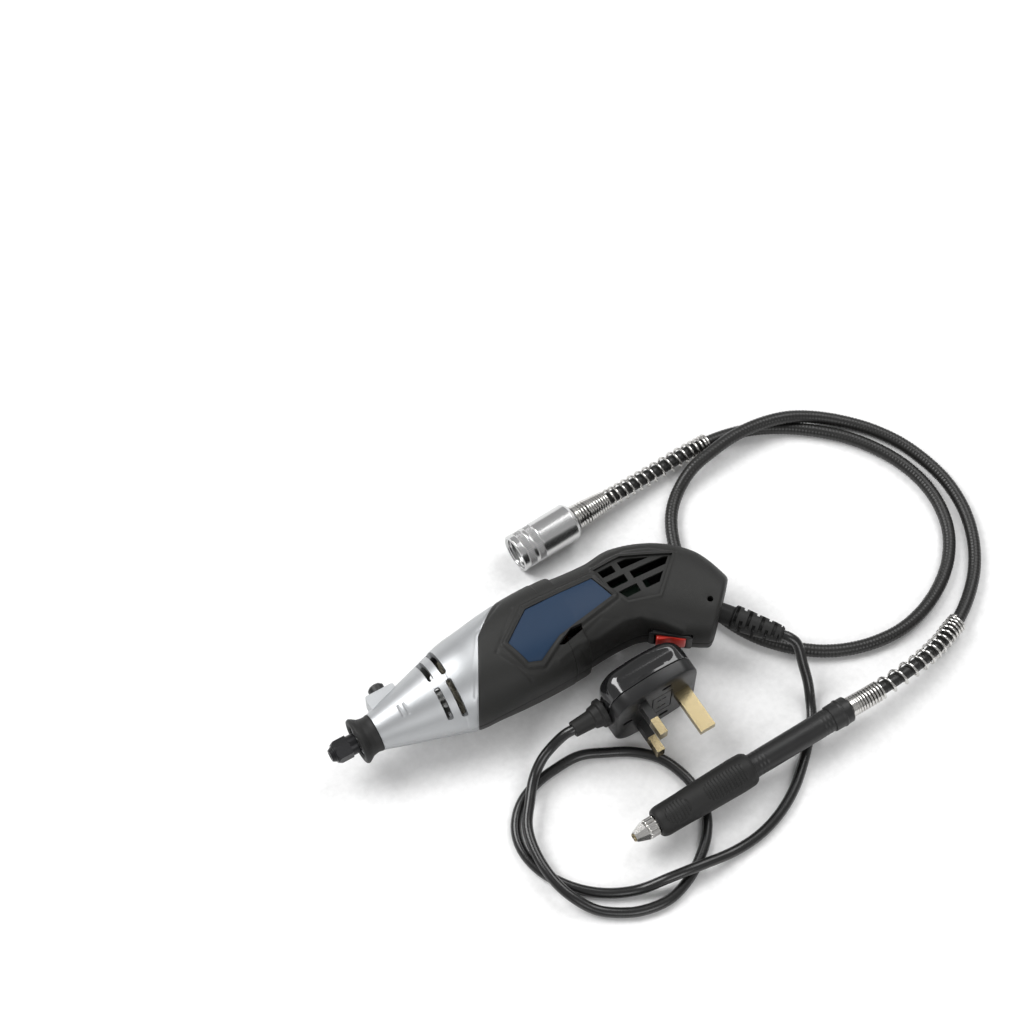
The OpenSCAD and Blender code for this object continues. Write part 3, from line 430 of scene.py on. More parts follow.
def cordRoute(c):
    low, high = c["rest"], c["over"]
    start = np.array(c["reliefStart"]) + c["reliefLength"] * direction(c["heading"])
    plug = np.array(c["plug"])
    grip = plug - 12 * direction(c["plugHeading"])
    route = [start, start + 3 * direction(c["heading"]), start + [4, -6.6, -2.4], (118.9, -67.5, 15),
             (117.8, -75, 8.5), (115.2, -82, 4.2), (111.6, -89, low), (105, -97, low), (95, -107, low),
             (84, -116, low), (71, -123, low), (57, -127, low), (42, -128, low + 1), (24, -127, high),
             (9, -125, high), (-4, -122, low + 1), (-16, -117, low), (-26, -110, low), (-34, -101, low),
             (-40, -90, low), (-42, -78, low), (-39, -67, low), (-31, -58, low), (-20, -53, low), (-8, -51, low),
             (5, -51, low), (17, -56, low), (28, -62, low), (37, -70.5, low), (42, -81, low), (44, -93, low),
             (42, -105, low), (36, -115, low), (27, -123, low), (17, -129, low), (5, -132.5, low),
             (-8, -131, low), (-19, -126, low), (-28, -119, low + 1), (-35, -108, high - 1), (-38, -96, high),
             (-38, -83, high), (-35, -71, high), (-28, -61, high + 0.5), (-21, -52.5, high + 1.5),
             (-14, -47.5, high + 5), (-7, -45.2, 16.5), (0, -44.6, 21.5), grip - 4 * direction(c["plugHeading"]), grip]
    return np.array([np.asarray(p, float) for p in route])


def makeCord(c):
    path, marks = smoothPath(cordRoute(c), c["step"])
    piece = closedSolid("mainsCordRun", tubeRings(path, c["radius"], c["around"]))
    return dress(piece, "cord_pvc", stands=["mains_cord"]), path, marks[-1]


# Ribs along the relief with windows between them: the radius drops between ribs except on two bridges,
# which turn a quarter from one gap to the next
def makeRelief(c):
    ribs = {"first": 8.5, "pitch": 3.2, "gap": 1.45, "last": 31.5, "core": 3.3, "bridge": 0.55}

    def windows(s, a, r):
        k = np.floor((s - ribs["first"]) / ribs["pitch"])
        inGap = (s > ribs["first"]) & (s < ribs["last"]) & ((s - ribs["first"]) % ribs["pitch"] < ribs["gap"])
        near = np.abs(((a - k * math.pi / 2 + math.pi / 2) % math.pi) - math.pi / 2)
        return np.where(inGap & (r > ribs["core"]) & (near > ribs["bridge"]), ribs["core"], r)

    profile = rounded([(0, 2.3), (0, 4.9), (7.4, 4.9), (8, 6.1), (12, 6.0), (28, 4.7), (32, 4.2), (33, 3.2),
                       (33, 2.3)], 0.5)
    piece = turned("strainReliefSleeve", denser(profile, 0.22), c["reliefStart"], c["heading"], 72, windows)
    dress(piece, "rubber_black", stands=["strain_relief"])


mainsCord, cordPath, cordLength = makeCord(cord)
makeRelief(cord)

# Flexible shaft
flex = {"coupling": (30, 53.2, 9.7), "couplingHeading": 4, "nutLength": 34, "hand": (4, -102, 14.2),
        "handHeading": 2, "gripEnd": 65, "tubeEnd": 115, "capEnd": 121, "radius": 3.25, "rest": 3.45, "over": 10.45,
        "around": 14, "step": 0.42, "ribPitch": 1.7, "ribDepth": 0.16, "wire": 0.65, "coil": 4.45}


def along(place, heading, distance, rise=0.0):
    return np.array(place, float) + distance * direction(heading) + [0, 0, rise]


def flexRoute(f):
    low, high, near, far = f["rest"], f["over"], f["coupling"], f["hand"]
    a, b, n, e = f["couplingHeading"], f["handHeading"], f["nutLength"], f["capEnd"]
    return np.array([
        along(near, a, n + 4), along(near, a, n + 14, -0.4), along(near, a, n + 30, -1.6), (112, 59.2, 6.6),
        (130, 60.6, 6), (146, 61, 5.4), (160, 59.5, 4.4), (174, 55.5, low), (187, 48.5, low), (199, 39.5, low),
        (210, 29, low), (219, 16.5, low), (225.5, 3, low), (229, -12, low), (228.5, -27, low), (224, -41, low),
        (215.5, -53, low), (204, -62.5, low), (190, -69.5, low), (175, -73, low), (160, -72.5, low),
        (146, -69, low), (133.5, -63, low), (122, -54, low), (112, -43, low), (104.5, -30, low), (100, -16, low),
        (98.5, -2, low), (100, 12, low), (104, 25, low), (110.5, 36.5, low), (120, 45.5, low + 0.5),
        (131.5, 51, low + 4.5), (145, 53.6, high - 0.4), (159, 55.3, high), (173, 54.6, high),
        (187, 51.7, high - 1), (200, 46.5, low + 3), (212, 38.5, low + 0.5), (222.5, 27.5, low), (231, 14, low),
        (236.5, -1, low), (239.3, -17, low), (238, -34, low), (232.5, -50, low), (223.5, -64, low),
        (211.5, -75.5, low + 0.9), (198.5, -84, low + 1.95), (184, -90, 7.8), (167, -94.4, 10.8),
        along(far, b, e + 18, -0.8), along(far, b, e + 6), along(far, b, e - 3)])


flexLine = flexRoute(flex)


# The sheath's radius dips once in every rib pitch: r = R - depth * (1 - cos)^2 / 4
def makeSheath(f):
    path, marks = smoothPath(flexLine, f["step"])
    radius = f["radius"] - f["ribDepth"] * (1 - np.cos(2 * math.pi * marks / f["ribPitch"])) ** 2 / 4
    piece = closedSolid("flexSheathRun", tubeRings(path, radius, f["around"]), sharp=60)
    return dress(piece, "sheath_rubber", stands=["flex_sheath", "flex_core"]), path[::4], marks[-1]


# A wire wound round a line: at each turn w the wire stands one coil radius off the line, at angle w;
# over the collar that it grips the coil is wider and eases down to its running size
def makeSpring(name, knots, turns, widths, f, stands):
    w = np.arange(0, turns[-1], 1 / 26)
    line = curveThrough(np.array(knots), np.interp(w, turns, np.arange(len(turns))))
    t = unit(np.gradient(line, axis=0))
    u = unit(np.cross([0, 0, 1.0], t))
    v = np.cross(t, u)
    a = (2 * math.pi * w)[:, None]
    coil = np.interp(w, turns, widths)[:, None]
    wire = line + coil * (np.cos(a) * u + np.sin(a) * v)
    ends = unit(line[-1] - line[0])
    piece = closedSolid(name, tubeRings(wire, f["wire"], 9, ends))
    return dress(piece, "nickel", stands=stands)


sheath, sheathPath, sheathLength = makeSheath(flex)
nearSpring = makeSpring("couplingBendSpring", [along(flex["coupling"], flex["couplingHeading"],
                        flex["nutLength"] + s, rise) for s, rise in ((1.5, 0), (9, -0.1), (20, -0.7))]
                        + list(flexLine[2:5]) + [0.35 * flexLine[4] + 0.65 * flexLine[5], flexLine[5]],
                        [0, 5.4, 13.4, 16.2, 20.4, 24.0, 26.8, 29.6],
                        [5.9, 5.5] + [flex["coil"]] * 6, flex, ["coupling_spring"])
farSpring = makeSpring("handpieceBendSpring", [along(flex["hand"], 2, flex["capEnd"] + 0.6), flexLine[-3],
                       flexLine[-4], flexLine[-5], 0.4 * flexLine[-5] + 0.6 * flexLine[-6],
                       flexLine[-6] + [0.3, -0.2, 0]], [0, 12.4, 16.0, 19.8, 22.6, 26.2],
                       [flex["coil"]] * 6, flex, ["handpiece_spring"])
print("cords laid: mains", round(cordLength), "mm, flexible shaft", round(sheathLength), "mm")

# Shaft coupling
nut = {"radius": 9.7, "thread": 8.1, "threadPitch": 1.7, "threadDepth": 0.38, "bands": [(3.6, 7.2), (9.2, 12.8)],
       "teeth": 60, "toothDepth": 0.22}


# The outside is knurled in two bands by |sin| round the axis; the bore carries a screw thread, a wave in
# distance plus angle
def knurlAndThread(s, a, r):
    teeth = nut["toothDepth"] * np.abs(np.sin(a * nut["teeth"] / 2)) ** 0.8
    thread = nut["threadDepth"] * np.cos(2 * math.pi * s / nut["threadPitch"] - a)
    for low, high in nut["bands"]:
        r = np.where((s > low) & (s < high) & (r > 9), r - nut["toothDepth"] + teeth, r)
    return np.where((s > 0.8) & (s < 12.6) & (np.abs(r - nut["thread"]) < 0.1), r + thread - 0.2, r)


nutProfile = rounded([(0, 8.5), (0, 9.1), (0.5, 9.7), (3.2, 9.7), (3.5, 9.45), (7.3, 9.45), (7.6, 9.7), (8.8, 9.7),
                      (9.1, 9.45), (12.9, 9.45), (13.2, 9.7), (32.2, 9.7), (34, 8.2), (34, 4.55), (25, 4.55),
                      (25, 7.5), (13, 7.5), (13, 8.1), (0.6, 8.1)], 0.22, 3)
couplingNut = turned("couplingKnurledNut", denser(nutProfile, 0.3), flex["coupling"], flex["couplingHeading"], 300,
                     knurlAndThread)
dress(couplingNut, "nickel", "coupling_nut", ["coupling_nut"], "spun_nickel")
ferruleProfile = rounded([(20.8, 2.75), (20.8, 6.2), (24.7, 6.2), (24.7, 4.4), (34.5, 4.4), (34.5, 5.2), (36.4, 5.2),
                          (36.6, 4.5), (41.6, 4.5), (42, 4.2), (42, 3.4), (35.2, 3.4), (35.2, 2.75)], 0.25, 3)
ferrule = turned("couplingFerruleBody", ferruleProfile, flex["coupling"], flex["couplingHeading"], 72)
dress(ferrule, "steel", stands=["coupling_ferrule"])

# Hand piece
hand = {"chuck": 12, "facing": 1.85, "ribPitch": 1.7, "ribDepth": 0.2}


# Two ribbed finger zones face the same way: a long one with round ends near the rear and a short dished one
# near the front; inside each the radius follows a cosine along the grip
def gripRibs(s, a, r):
    turn = (a - hand["facing"] + math.pi) % (2 * math.pi) - math.pi
    outside = r > 6.4
    longZone = ((s - 37) / 11) ** 4 + (turn / 0.62) ** 4 < 1
    shortZone = ((s - 10.5) / 6.5) ** 2 + (turn / 0.75) ** 2 < 1
    wave = hand["ribDepth"] * (np.cos(2 * math.pi * s / hand["ribPitch"]) - 1)
    backWave = 0.2 * (np.cos(2 * math.pi * s / 3.4) - 1) * (np.abs(turn) > 2.3) * (s > 24) * (s < 48)
    return np.where(outside & longZone, r + wave,
                    np.where(outside & shortZone, r + 0.8 * wave - 0.1, np.where(outside, r + backWave, r)))


gripProfile = rounded([(0, 4.6), (0, 6.1), (0.9, 7.0), (3, 7.6), (14, 7.75), (22, 8.05), (30, 8.3), (45, 8.6),
                       (51, 8.4), (53, 7.3), (53, 6.02), (43, 6.02), (43, 4.6)], 0.6, 4)
handAt = along(flex["hand"], flex["handHeading"], hand["chuck"])
grip = turned("handpieceGripSleeve", denser(gripProfile, 0.3), handAt, flex["handHeading"], 180, gripRibs)
dress(grip, "rubber_black", stands=["handpiece_grip"])


# The tube's outside carries three narrow rings near each end
def tubeGrooves(s, a, r):
    ring = sum(0.12 * np.exp(-(((s - place) / 0.5) ** 2)) for place in (13, 15, 17, 50, 52, 54))
    return np.where(r > 5.5, r - ring, r)


tubeProfile = rounded([(0, 4.6), (0, 6), (59, 6), (60, 5.6), (60, 4.6)], 0.3, 3)
tubeAt = along(flex["hand"], flex["handHeading"], flex["gripEnd"] - 10)
tube = turned("handpieceTubeSleeve", denser(tubeProfile, 0.3), tubeAt, flex["handHeading"], 96, tubeGrooves)
dress(tube, "dark_plastic", stands=["handpiece_tube"])
capProfile = rounded([(0, 2.3), (0, 6.02), (-4.6, 6.02), (-4.6, 6.5), (0.4, 6.6), (0.9, 6.95), (1.6, 6.95), (2.1, 6.6),
                      (5.4, 6.5), (6, 5.9), (6, 3.3), (3, 3.3), (3, 2.3)], 0.3, 4)
capAt = along(flex["hand"], flex["handHeading"], flex["tubeEnd"])
dress(turned("handpieceEndCollar", capProfile, capAt, flex["handHeading"], 96), "dark_plastic",
      stands=["handpiece_end_cap"])


# Twelve flutes at the back of the chuck and eight flats on its cone: a flat is r / cos of the angle to its middle
def chuckShape(s, a, r):
    flute = 0.6 * np.exp(-((((a % (math.pi / 6)) - math.pi / 12) / 0.11) ** 2)) * ((s > 7) & (s < 11.3))
    step = math.pi / 4
    flat = np.cos(step / 2) / np.cos((a % step) - step / 2)
    return np.where(r > 2.4, np.where(s < 6.4, r * flat, r - flute), r)


chuckProfile = rounded([(0, 2.1), (0, 2.7), (6, 4.9), (6.6, 4.5), (7, 5), (11.4, 5), (11.7, 4.7), (11.7, 3.4),
                        (3.6, 3.4), (3.6, 2.1)], 0.25, 3)
chuck = turned("chuckNutShell", denser(chuckProfile, 0.35), flex["hand"], flex["handHeading"], 192, chuckShape, 25)
dress(chuck, "nickel", "chuck_nut", ["chuck_nut"])
print("flexible shaft and hand piece made")

# Nose cap
capRing = rounded([(0.9, 7.97), (0, 9.4), (0.4, 11.0), (1.5, 11.5), (2.8, 10.9), (4.8, 9.5), (7.4, 8.95), (8.4, 9.0),
                   (9.6, 9.3), (10.4, 9.3), (10.4, 7.97)], 0.5, 5)
dress(turned("noseCapRubber", capRing, (-86.5, 0, axisZ), 0, 144), "rubber_black", "nose_cap", ["nose_cap"])

# Plug
plug = {"place": (21, -44.5, 23.5), "heading": 2, "line": 15, "earth": 37.2, "pitch": 22.2}


# Local x along the plug, y up, depth towards the pins, put in its place
def atPlug(points):
    p = np.asarray(points, float)
    h = plug["heading"]
    return (np.array(plug["place"], float) + p[..., :1] * direction(h) - p[..., 2:] * sideways(h)
            + p[..., 1:2] * np.array([0, 0, 1.0]))


def plugOutline():
    corners = [(1, -14), (6, -20.5), (24, -23.4), (41, -21), (46, -14), (46, 14), (41, 21), (24, 23.4), (6, 20.5),
               (1, 14)]
    line = rounded(corners, 9, 16)
    closed = np.column_stack([np.vstack([line, line[:1]]), np.zeros(len(line) + 1)])
    return evenly(closed, 0.85)[0][:-1, :2]


# Rings of the outline drawn in towards its middle by an inset that changes with depth
def plugRings(stations):
    outline = plugOutline()
    middle = np.array([23.5, 0])
    out = []
    for depth, inset in stations:
        scale = 1 - inset / np.array([22.5, 23.5])
        flat = middle + (outline - middle) * scale
        out.append(np.column_stack([flat, np.full(len(flat), depth)]))
    return np.stack(out)


def smoothStations(knots, count):
    rows = np.array(knots, float)
    return curveThrough(rows, np.linspace(0, len(rows) - 1, count))


# The cover: a dome at the back, and a lens-shaped flat pressed into each edge that the fingers hold
def makePlugCover():
    stations = np.vstack([[[3.35, 0.9], [3.35, 0.25], [3.1, 0]],
                          smoothStations([(2.6, 0), (-3, 0.1), (-6, 0.8), (-8.4, 2.6), (-9.9, 5.6), (-10.5, 10)], 40)])
    rings = plugRings(stations)
    x, y, z = rings[..., 0], rings[..., 1], rings[..., 2]
    lens = 4.6 * (1 - ((x - 24) / 19.5) ** 4)
    dish = 20.9 + 0.045 * (z + 3) ** 2
    inside = np.abs(z + 3.0) < lens
    rings[..., 1] = np.where(inside, np.sign(y) * np.minimum(np.abs(y), dish), y)
    return closedSolid("plugCoverShell", atPlug(rings), 28)


def plugBox(name, x0, x1, y0, y1, z0, z1, radius=0.4):
    outline = boxOutline(x0, x1, y0, y1, radius)
    rings = np.stack([np.column_stack([outline, np.full(len(outline), z)]) for z in (z0, z1)])
    return closedSolid(name, atPlug(rings))


def makePlugBase():
    base = closedSolid("plugPinFace", atPlug(plugRings([(3.6, 0.9), (3.6, 0.25), (3.85, 0), (9.4, 0.1), (10.1, 0.4),
                                                         (10.5, 1.2)])), 28)
    holes = [plugBox("pocket", plug["earth"] - 4, plug["earth"] + 4, -2, 2, 3, 12)]
    for s in (-1, 1):
        pin = s * plug["pitch"] / 2
        holes.append(plugBox("pocket", plug["line"] - 2, plug["line"] + 2, pin - 3.2, pin + 3.2, 3, 12))
    for x0, x1, y0, y1 in ((20.6, 21.2, -9, 9), (31.2, 31.8, -9, 9), (20.6, 31.8, -9.6, -9), (20.6, 31.8, 9, 9.6),
                           (23.6, 28.6, -4.6, -3.4), (23.6, 28.6, 3.4, 4.6)):
        holes.append(plugBox("groove", x0, x1, y0, y1, 9.7, 12, 0.25))
    for x, y in ((28.2, -15.4), (28.2, 15.4), (7.4, 0)):
        holes.append(plugBox("oval", x - 2.6, x + 2.6, y - 1.3, y + 1.3, 9.4, 12, 1.25))
    holes.append(plugBox("seat", 22.3, 30.1, -13.2, 13.2, 3.4, 8.6, 0.3))
    return carve(base, holes)


cover, pinFace = makePlugCover(), makePlugBase()
dress(cover, "plug_gloss", stands=["plug_cover"])
dress(pinFace, "plug_face", stands=["plug_base"])


gripStart = np.array(plug["place"]) - 12 * direction(plug["heading"])
cordGripProfile = rounded([(-4.5, 2.45), (-4.5, 3.9), (5.6, 4.5), (6, 5.3), (9.4, 5.9), (9.8, 7), (12.6, 7.3),
                           (12.6, 2.45)], 0.5, 5)
cordGrip = turned("plugCordSleeve", denser(cordGripProfile, 0.4), gripStart, plug["heading"], 72)
dress(cordGrip, "rubber_black", stands=["plug_cord_grip"])
print("plug made")


# Motor housing: sections [x, y, heading, half width, half thickness, squareness]
sections = np.array([
    [-76, 0, 0, 9.3, 9.3, 2], [-54.5, 0, 0, 15.7, 15.7, 2], [-33, 0.2, 0, 21.8, 21.6, 2.05],
    [-20, 0.8, 0, 23.0, 22.8, 2.2], [-5, 1.4, 0, 23.8, 23.6, 2.6], [10, 1.8, 0, 24.2, 24, 2.8],
    [27.5, 1.9, 0, 23.8, 23.8, 2.8], [31, 2, 0, 21.6, 23.6, 2.8], [48.8, 1.8, 0, 20.8, 22, 2.8],
    [62, 1.2, -5, 22.6, 21.1, 2.8], [76.52, -6, -20, 24.6, 19, 2.7], [87.74, -15.5, -35, 23, 17, 2.6],
    [95, -27, -45, 17.5, 16.2, 2.4], [96.4, -28.4, -45, 15.6, 14.6, 2.2]])
housing = {
    "step": 0.42, "around": 420, "wall": 2.4,
    "noseEdge": [(-220, -200), (-35, -200), (-34, -24), (-15, 10), (13, 34), (13, 200), (-220, 200)],
    "label": [(-5, -0.5), (10.5, 10.5), (46.5, 9.5), (50.5, -3), (18, -9), (5, -15), (-1, -13)],
    "ventPanel": [(49.4, 13.2), (64, 13.6), (88, 3.6), (70.6, -12.6), (55.8, -8.6), (50.4, 1.6)],
    "vents": [(50, 58.5, 9.2), (61.5, 90, 9.2), (50, 61.2, 2.2), (64.2, 90, 2.2), (50, 64, -4.8), (67, 90, -4.8)],
    "ventWidth": 4.3, "slit": [(15.4, -12.6), (18.2, -13.6), (29.4, -11.2), (30, -8.6), (24.2, -8.3)],
    "screws": [(13, 17.6, 0), (13, -16.2, 0), (51.4, -12, 0), (91, -25.7, 1)]}


# The skin: a point at angle a on a section stands half a width out times cos^(2/n) and half a thickness up
# times sin^(2/n); the angles are spaced evenly along the section's edge
def evenAngles(count):
    fine = (np.arange(20000) + 0.5) * 2 * math.pi / 20000
    n = 2 / 2.6
    x = np.sign(np.cos(fine)) * np.abs(np.cos(fine)) ** n
    y = np.sign(np.sin(fine)) * np.abs(np.sin(fine)) ** n
    length = np.concatenate([[0], np.cumsum(np.hypot(np.diff(x), np.diff(y)))])
    return np.interp((np.arange(count) + 0.5) * length[-1] / count, length, fine)


def skin(t, angles, inset=0.0):
    s = curveThrough(sections, t)[:, None, :]
    heading = np.radians(s[..., 2])
    across = (s[..., 3] - inset) * np.sign(np.cos(angles)) * np.abs(np.cos(angles)) ** (2 / s[..., 5])
    up = (s[..., 4] - inset) * np.sign(np.sin(angles)) * np.abs(np.sin(angles)) ** (2 / s[..., 5])
    return np.stack([s[..., 0] - np.sin(heading) * across, s[..., 1] + np.cos(heading) * across, axisZ + up], -1)


def stationsBetween(first, last, step):
    t = np.linspace(first, last, 4000)
    line = curveThrough(sections, t)[:, :2]
    length = np.concatenate([[0], np.cumsum(np.linalg.norm(np.diff(line, axis=0), axis=1))])
    return np.interp(np.linspace(0, length[-1], int(length[-1] / step)), length, t)


# Distance from points to a line of corners in X and Y, and which side they lie on, both as whole arrays
def distanceTo(points, corners, closed=False):
    c = np.array(corners, float)
    ends = np.roll(c, -1, 0) if closed else c[1:]
    starts = c if closed else c[:-1]
    best = np.full(points.shape[:-1], 1e9)
    for a, b in zip(starts, ends):
        e = b - a
        f = np.clip(((points[..., :2] - a) @ e) / (e @ e), 0, 1)
        best = np.minimum(best, np.linalg.norm(points[..., :2] - a - f[..., None] * e, axis=-1))
    return best


def insideOf(points, corners):
    c = np.array(corners, float)
    x, y = points[..., 0], points[..., 1]
    inside = np.zeros(x.shape, bool)
    for (x1, y1), (x2, y2) in zip(c, np.roll(c, -1, 0)):
        crosses = ((y1 > y) != (y2 > y)) & (x < (x2 - x1) * (y - y1) / (y2 - y1 + 1e-12) + x1)
        inside ^= crosses
    return inside


def ramp(v, low, high):
    f = np.clip((v - low) / (high - low), 0, 1)
    return f * f * (3 - 2 * f)


def bell(v, width):
    return np.exp(-((v / width) ** 2))


# Raised and sunk lines of the mouldings, each [corners, width, height]
mouldings = {
    "seam": 0.35, "ticks": [(-62.8, -1.4), (-60.2, -1.8)], "ridges": [
        ([(50, 15.6), (58, 16.6), (69, 16.4), (80, 12.6), (90, 5)], 0.9, -0.45),
        ([(13, -17.5), (24, -15.6), (35, -16.6), (50, -14.8), (58, -16.6), (66, -23.4), (73, -31)], 1.2, 0.5),
        ([(-30, -14), (-14, 12), (2, 21)], 0.9, -0.35), ([(-12, -2), (5.5, 14)], 0.8, -0.3),
        ([(-12, -2), (-3, -19)], 0.8, -0.3), ([(64, 13.6), (88, 3.6)], 0.8, 0.35),
        ([(50, -14.8), (40, -10), (30, -13)], 1.0, -0.3)],
    "scoop": [(10, -40), (24, -17.2), (35, -18.2), (50, -16.4), (58, -18.2), (68, -27), (76, -37), (60, -60)]}


# How far the skin stands out from its section, from sums of bells and ramps of distance
def relief(p):
    upper = ramp(p[..., 2], axisZ + 4, axisZ + 9)
    out = -mouldings["seam"] * bell(p[..., 2] - axisZ, 0.32)
    out = out - 0.4 * bell(distanceTo(p, housing["noseEdge"][1:5]), 0.4)
    edge = distanceTo(p, housing["label"], True)
    signed = np.where(insideOf(p, housing["label"]), -edge, edge)
    out = out + upper * (0.55 * bell(signed - 1.5, 0.75) - 0.3 * bell(signed - 3.2, 0.6))
    panel = np.where(insideOf(p, housing["ventPanel"]), -1, 1) * distanceTo(p, housing["ventPanel"], True)
    out = out + upper * 0.4 * bell(panel - 1.0, 0.7)
    for corners, width, height in mouldings["ridges"]:
        out = out + upper * height * bell(distanceTo(p, corners), width)
    out = out + 0.3 * ramp(p[..., 0], -37.6, -36.8) * (p[..., 0] < 20)
    for x, y in mouldings["ticks"]:
        out = out + upper * 0.35 * bell(p[..., 0] - x, 0.45) * ramp(3.4 - np.abs(p[..., 1] - y), 0, 0.8)
    out = out - upper * 0.5 * bell(np.hypot(p[..., 0] - 91, p[..., 1] + 25.7), 2.6)
    depth = np.where(insideOf(p, mouldings["scoop"]), distanceTo(p, mouldings["scoop"], True), 0)
    out = out - upper * 1.5 * ramp(depth, 0, 7)
    # grip ribs on the top edge
    topEdge = (p[..., 1] > 14) & (p[..., 0] > 62) & (p[..., 0] < 76)
    out = out + 0.35 * topEdge * bell((p[..., 0] % 2.4) - 1.2, 0.5) * bell(p[..., 2] - axisZ - 3, 7)
    return out


def skinSolid(name, first, last, inset=0.0, detail=True, step=None, around=None):
    t = stationsBetween(first, last, step or housing["step"])
    rings = skin(t, evenAngles(around or housing["around"])[None, :], inset)
    if detail:
        # the far end is eased: the last 2.2 mm draw in along a quarter circle of radius 1.8 mm
        back = np.linalg.norm(rings.mean(1) - rings[-1].mean(0), axis=1)[:, None, None]
        draw = 1.8 - np.sqrt(np.clip(1.8**2 - np.clip(1.8 - back, 0, 1.8) ** 2, 0, None))
        centre = rings.mean(1, keepdims=True)
        rings = centre + (rings - centre) * (1 - (draw if last == 13 else 0 * draw) / 16)
        outward = np.cross(np.gradient(rings, axis=0), np.roll(rings, -1, 1) - np.roll(rings, 1, 1))
        middle = rings.mean(1, keepdims=True)
        outward = unit(outward) * np.sign(np.sum(outward * (rings - middle), -1, keepdims=True))
        rings = rings + outward * relief(rings)[..., None]
    return closedSolid(name, rings, 28)


def block(x0, x1, y0, y1, z0, z1, place=(0, 0, 0), heading=0, radius=0.0):
    return prism("block", boxOutline(x0, x1, y0, y1, radius), z0, z1, place, heading)


# A screw or vent hole straight down in Z, or a round hole along a level line
def post(x, y, r, z0, z1, count=48):
    a = np.arange(count) * 2 * math.pi / count
    return prism("post", np.column_stack([x + r * np.cos(a), y + r * np.sin(a)]), z0, z1)


def level(origin, heading, r, length):
    return turnedRod("level", [(0, r), (length, r)], origin, heading)


def turnedRod(name, profile, origin, heading, around=72, sharp=32):
    profile = np.asarray(profile, float)
    a = np.arange(around) * 2 * math.pi / around
    rings = (np.array(origin, float) + profile[:, None, :1] * direction(heading)
             + profile[:, None, 1:] * (np.cos(a)[:, None] * sideways(heading) + np.sin(a)[:, None] * [0, 0, 1.0]))
    return closedSolid(name, rings, sharp)


# The vents: rows of level openings, each kept inside the panel's outline drawn in a little
def ventTools(low, high):
    h = housing
    middle = np.mean(h["ventPanel"], 0)
    inner = middle + (np.array(h["ventPanel"]) - middle) * 0.9
    tools = []
    for x0, x1, y in h["vents"]:
        opening = prism("vent", boxOutline(x0, x1, y - h["ventWidth"] / 2, y + h["ventWidth"] / 2, 0.5), low, high)
        tools.append(carve(opening, [prism("panel", inner, low - 1, high + 1)], "INTERSECT"))
    return tools


# What both black halves share: the skin, less the nose, its inside, the switch, dial and cord openings
def blackHalf(name, upper):
    h = housing
    half = skinSolid(name, 1.75, 13)
    inside = skinSolid("inside", 1.5, 12.2, h["wall"], False, 1.5, 120)
    low, high = (-200, axisZ + 0.03) if upper else (axisZ - 0.03, 200)
    away = block(-300, 300, -300, 300, low, high)
    tools = [away, prism("noseCut", h["noseEdge"], -100, 200), inside,
             block(-10.5, 10.5, -1.8, 17, -7, 7, (68.27, -28.4, axisZ), -38),
             level((95.3, -27.1, axisZ), -52, 4.95, 20),
             post(93.4, -2.8, 11, axisZ - 2.8, axisZ + 2.8, 96)]
    if upper:
        recess = prism("recess", h["label"], axisZ, 90)
        tools.append(carve(recess, [skinSolid("under", 3, 10, 0.95, False, 0.8, 240)]))
        panel = prism("panel", h["ventPanel"], axisZ, 90)
        tools.append(carve(panel, [skinSolid("under", 6, 13, 0.9, False, 0.8, 240)]))
        tools += ventTools(axisZ + 8, 90)
        tools.append(prism("slit", h["slit"], axisZ + 8, 90))
    else:
        tools.append(block(-300, 300, -300, 300, -50, 0))
        tools += ventTools(-40, axisZ - 8)
    for x, y, side in h["screws"]:
        if upper == bool(side):
            tools.append(post(x, y, 1.5, axisZ + 7, 90) if upper else post(x, y, 2.9, -60, axisZ - 11))
    return carve(half, tools)


upperHalf, lowerHalf = blackHalf("housingUpperHalf", True), blackHalf("housingLowerHalf", False)
dress(upperHalf, "black_shell", stands=["housing_left"])
dress(lowerHalf, "black_shell", stands=["housing_right"])
print("housing halves made")


# The label: the part of the outline between two depths under the skin
def makeLabel():
    middle = np.mean(housing["label"], 0)
    scaled = middle + (np.array(housing["label"]) - middle) * 0.985
    plate = prism("ratingPanel", scaled, axisZ, 90)
    carve(plate, [skinSolid("over", 2.5, 10.5, 0.3, False, 0.8, 240)], "INTERSECT")
    return carve(plate, [skinSolid("under", 2, 11, 1.0, False, 0.8, 240)])


dress(makeLabel(), "label", stands=["label_plate"])


# A slot round the nose: a rounded outline over station and angle, carried from radius 11 to 40; the angle
# is measured from straight down towards the top edge
def noseSlot(x, low, high, width=2.9):
    across = 18.5
    outline = rounded([(x, math.radians(low) * across), (x + width, math.radians(low) * across),
                       (x + width, math.radians(high) * across), (x, math.radians(high) * across)], 1.45, 8)
    closed = np.column_stack([np.vstack([outline, outline[:1]]), np.zeros(len(outline) + 1)])
    line = evenly(closed, 0.5)[0][:-1]
    s, a = line[:, 0], line[:, 1] / across
    rings = [np.column_stack([s, r * np.sin(a), axisZ - r * np.cos(a)]) for r in (11, 40)]
    return closedSolid("slot", np.stack(rings))


lock = {"x": -65.5, "holes": [(4.1, 11, 60), (1.65, 4, 12)], "spring": 2.25, "wire": 0.4, "shortest": 0.22}


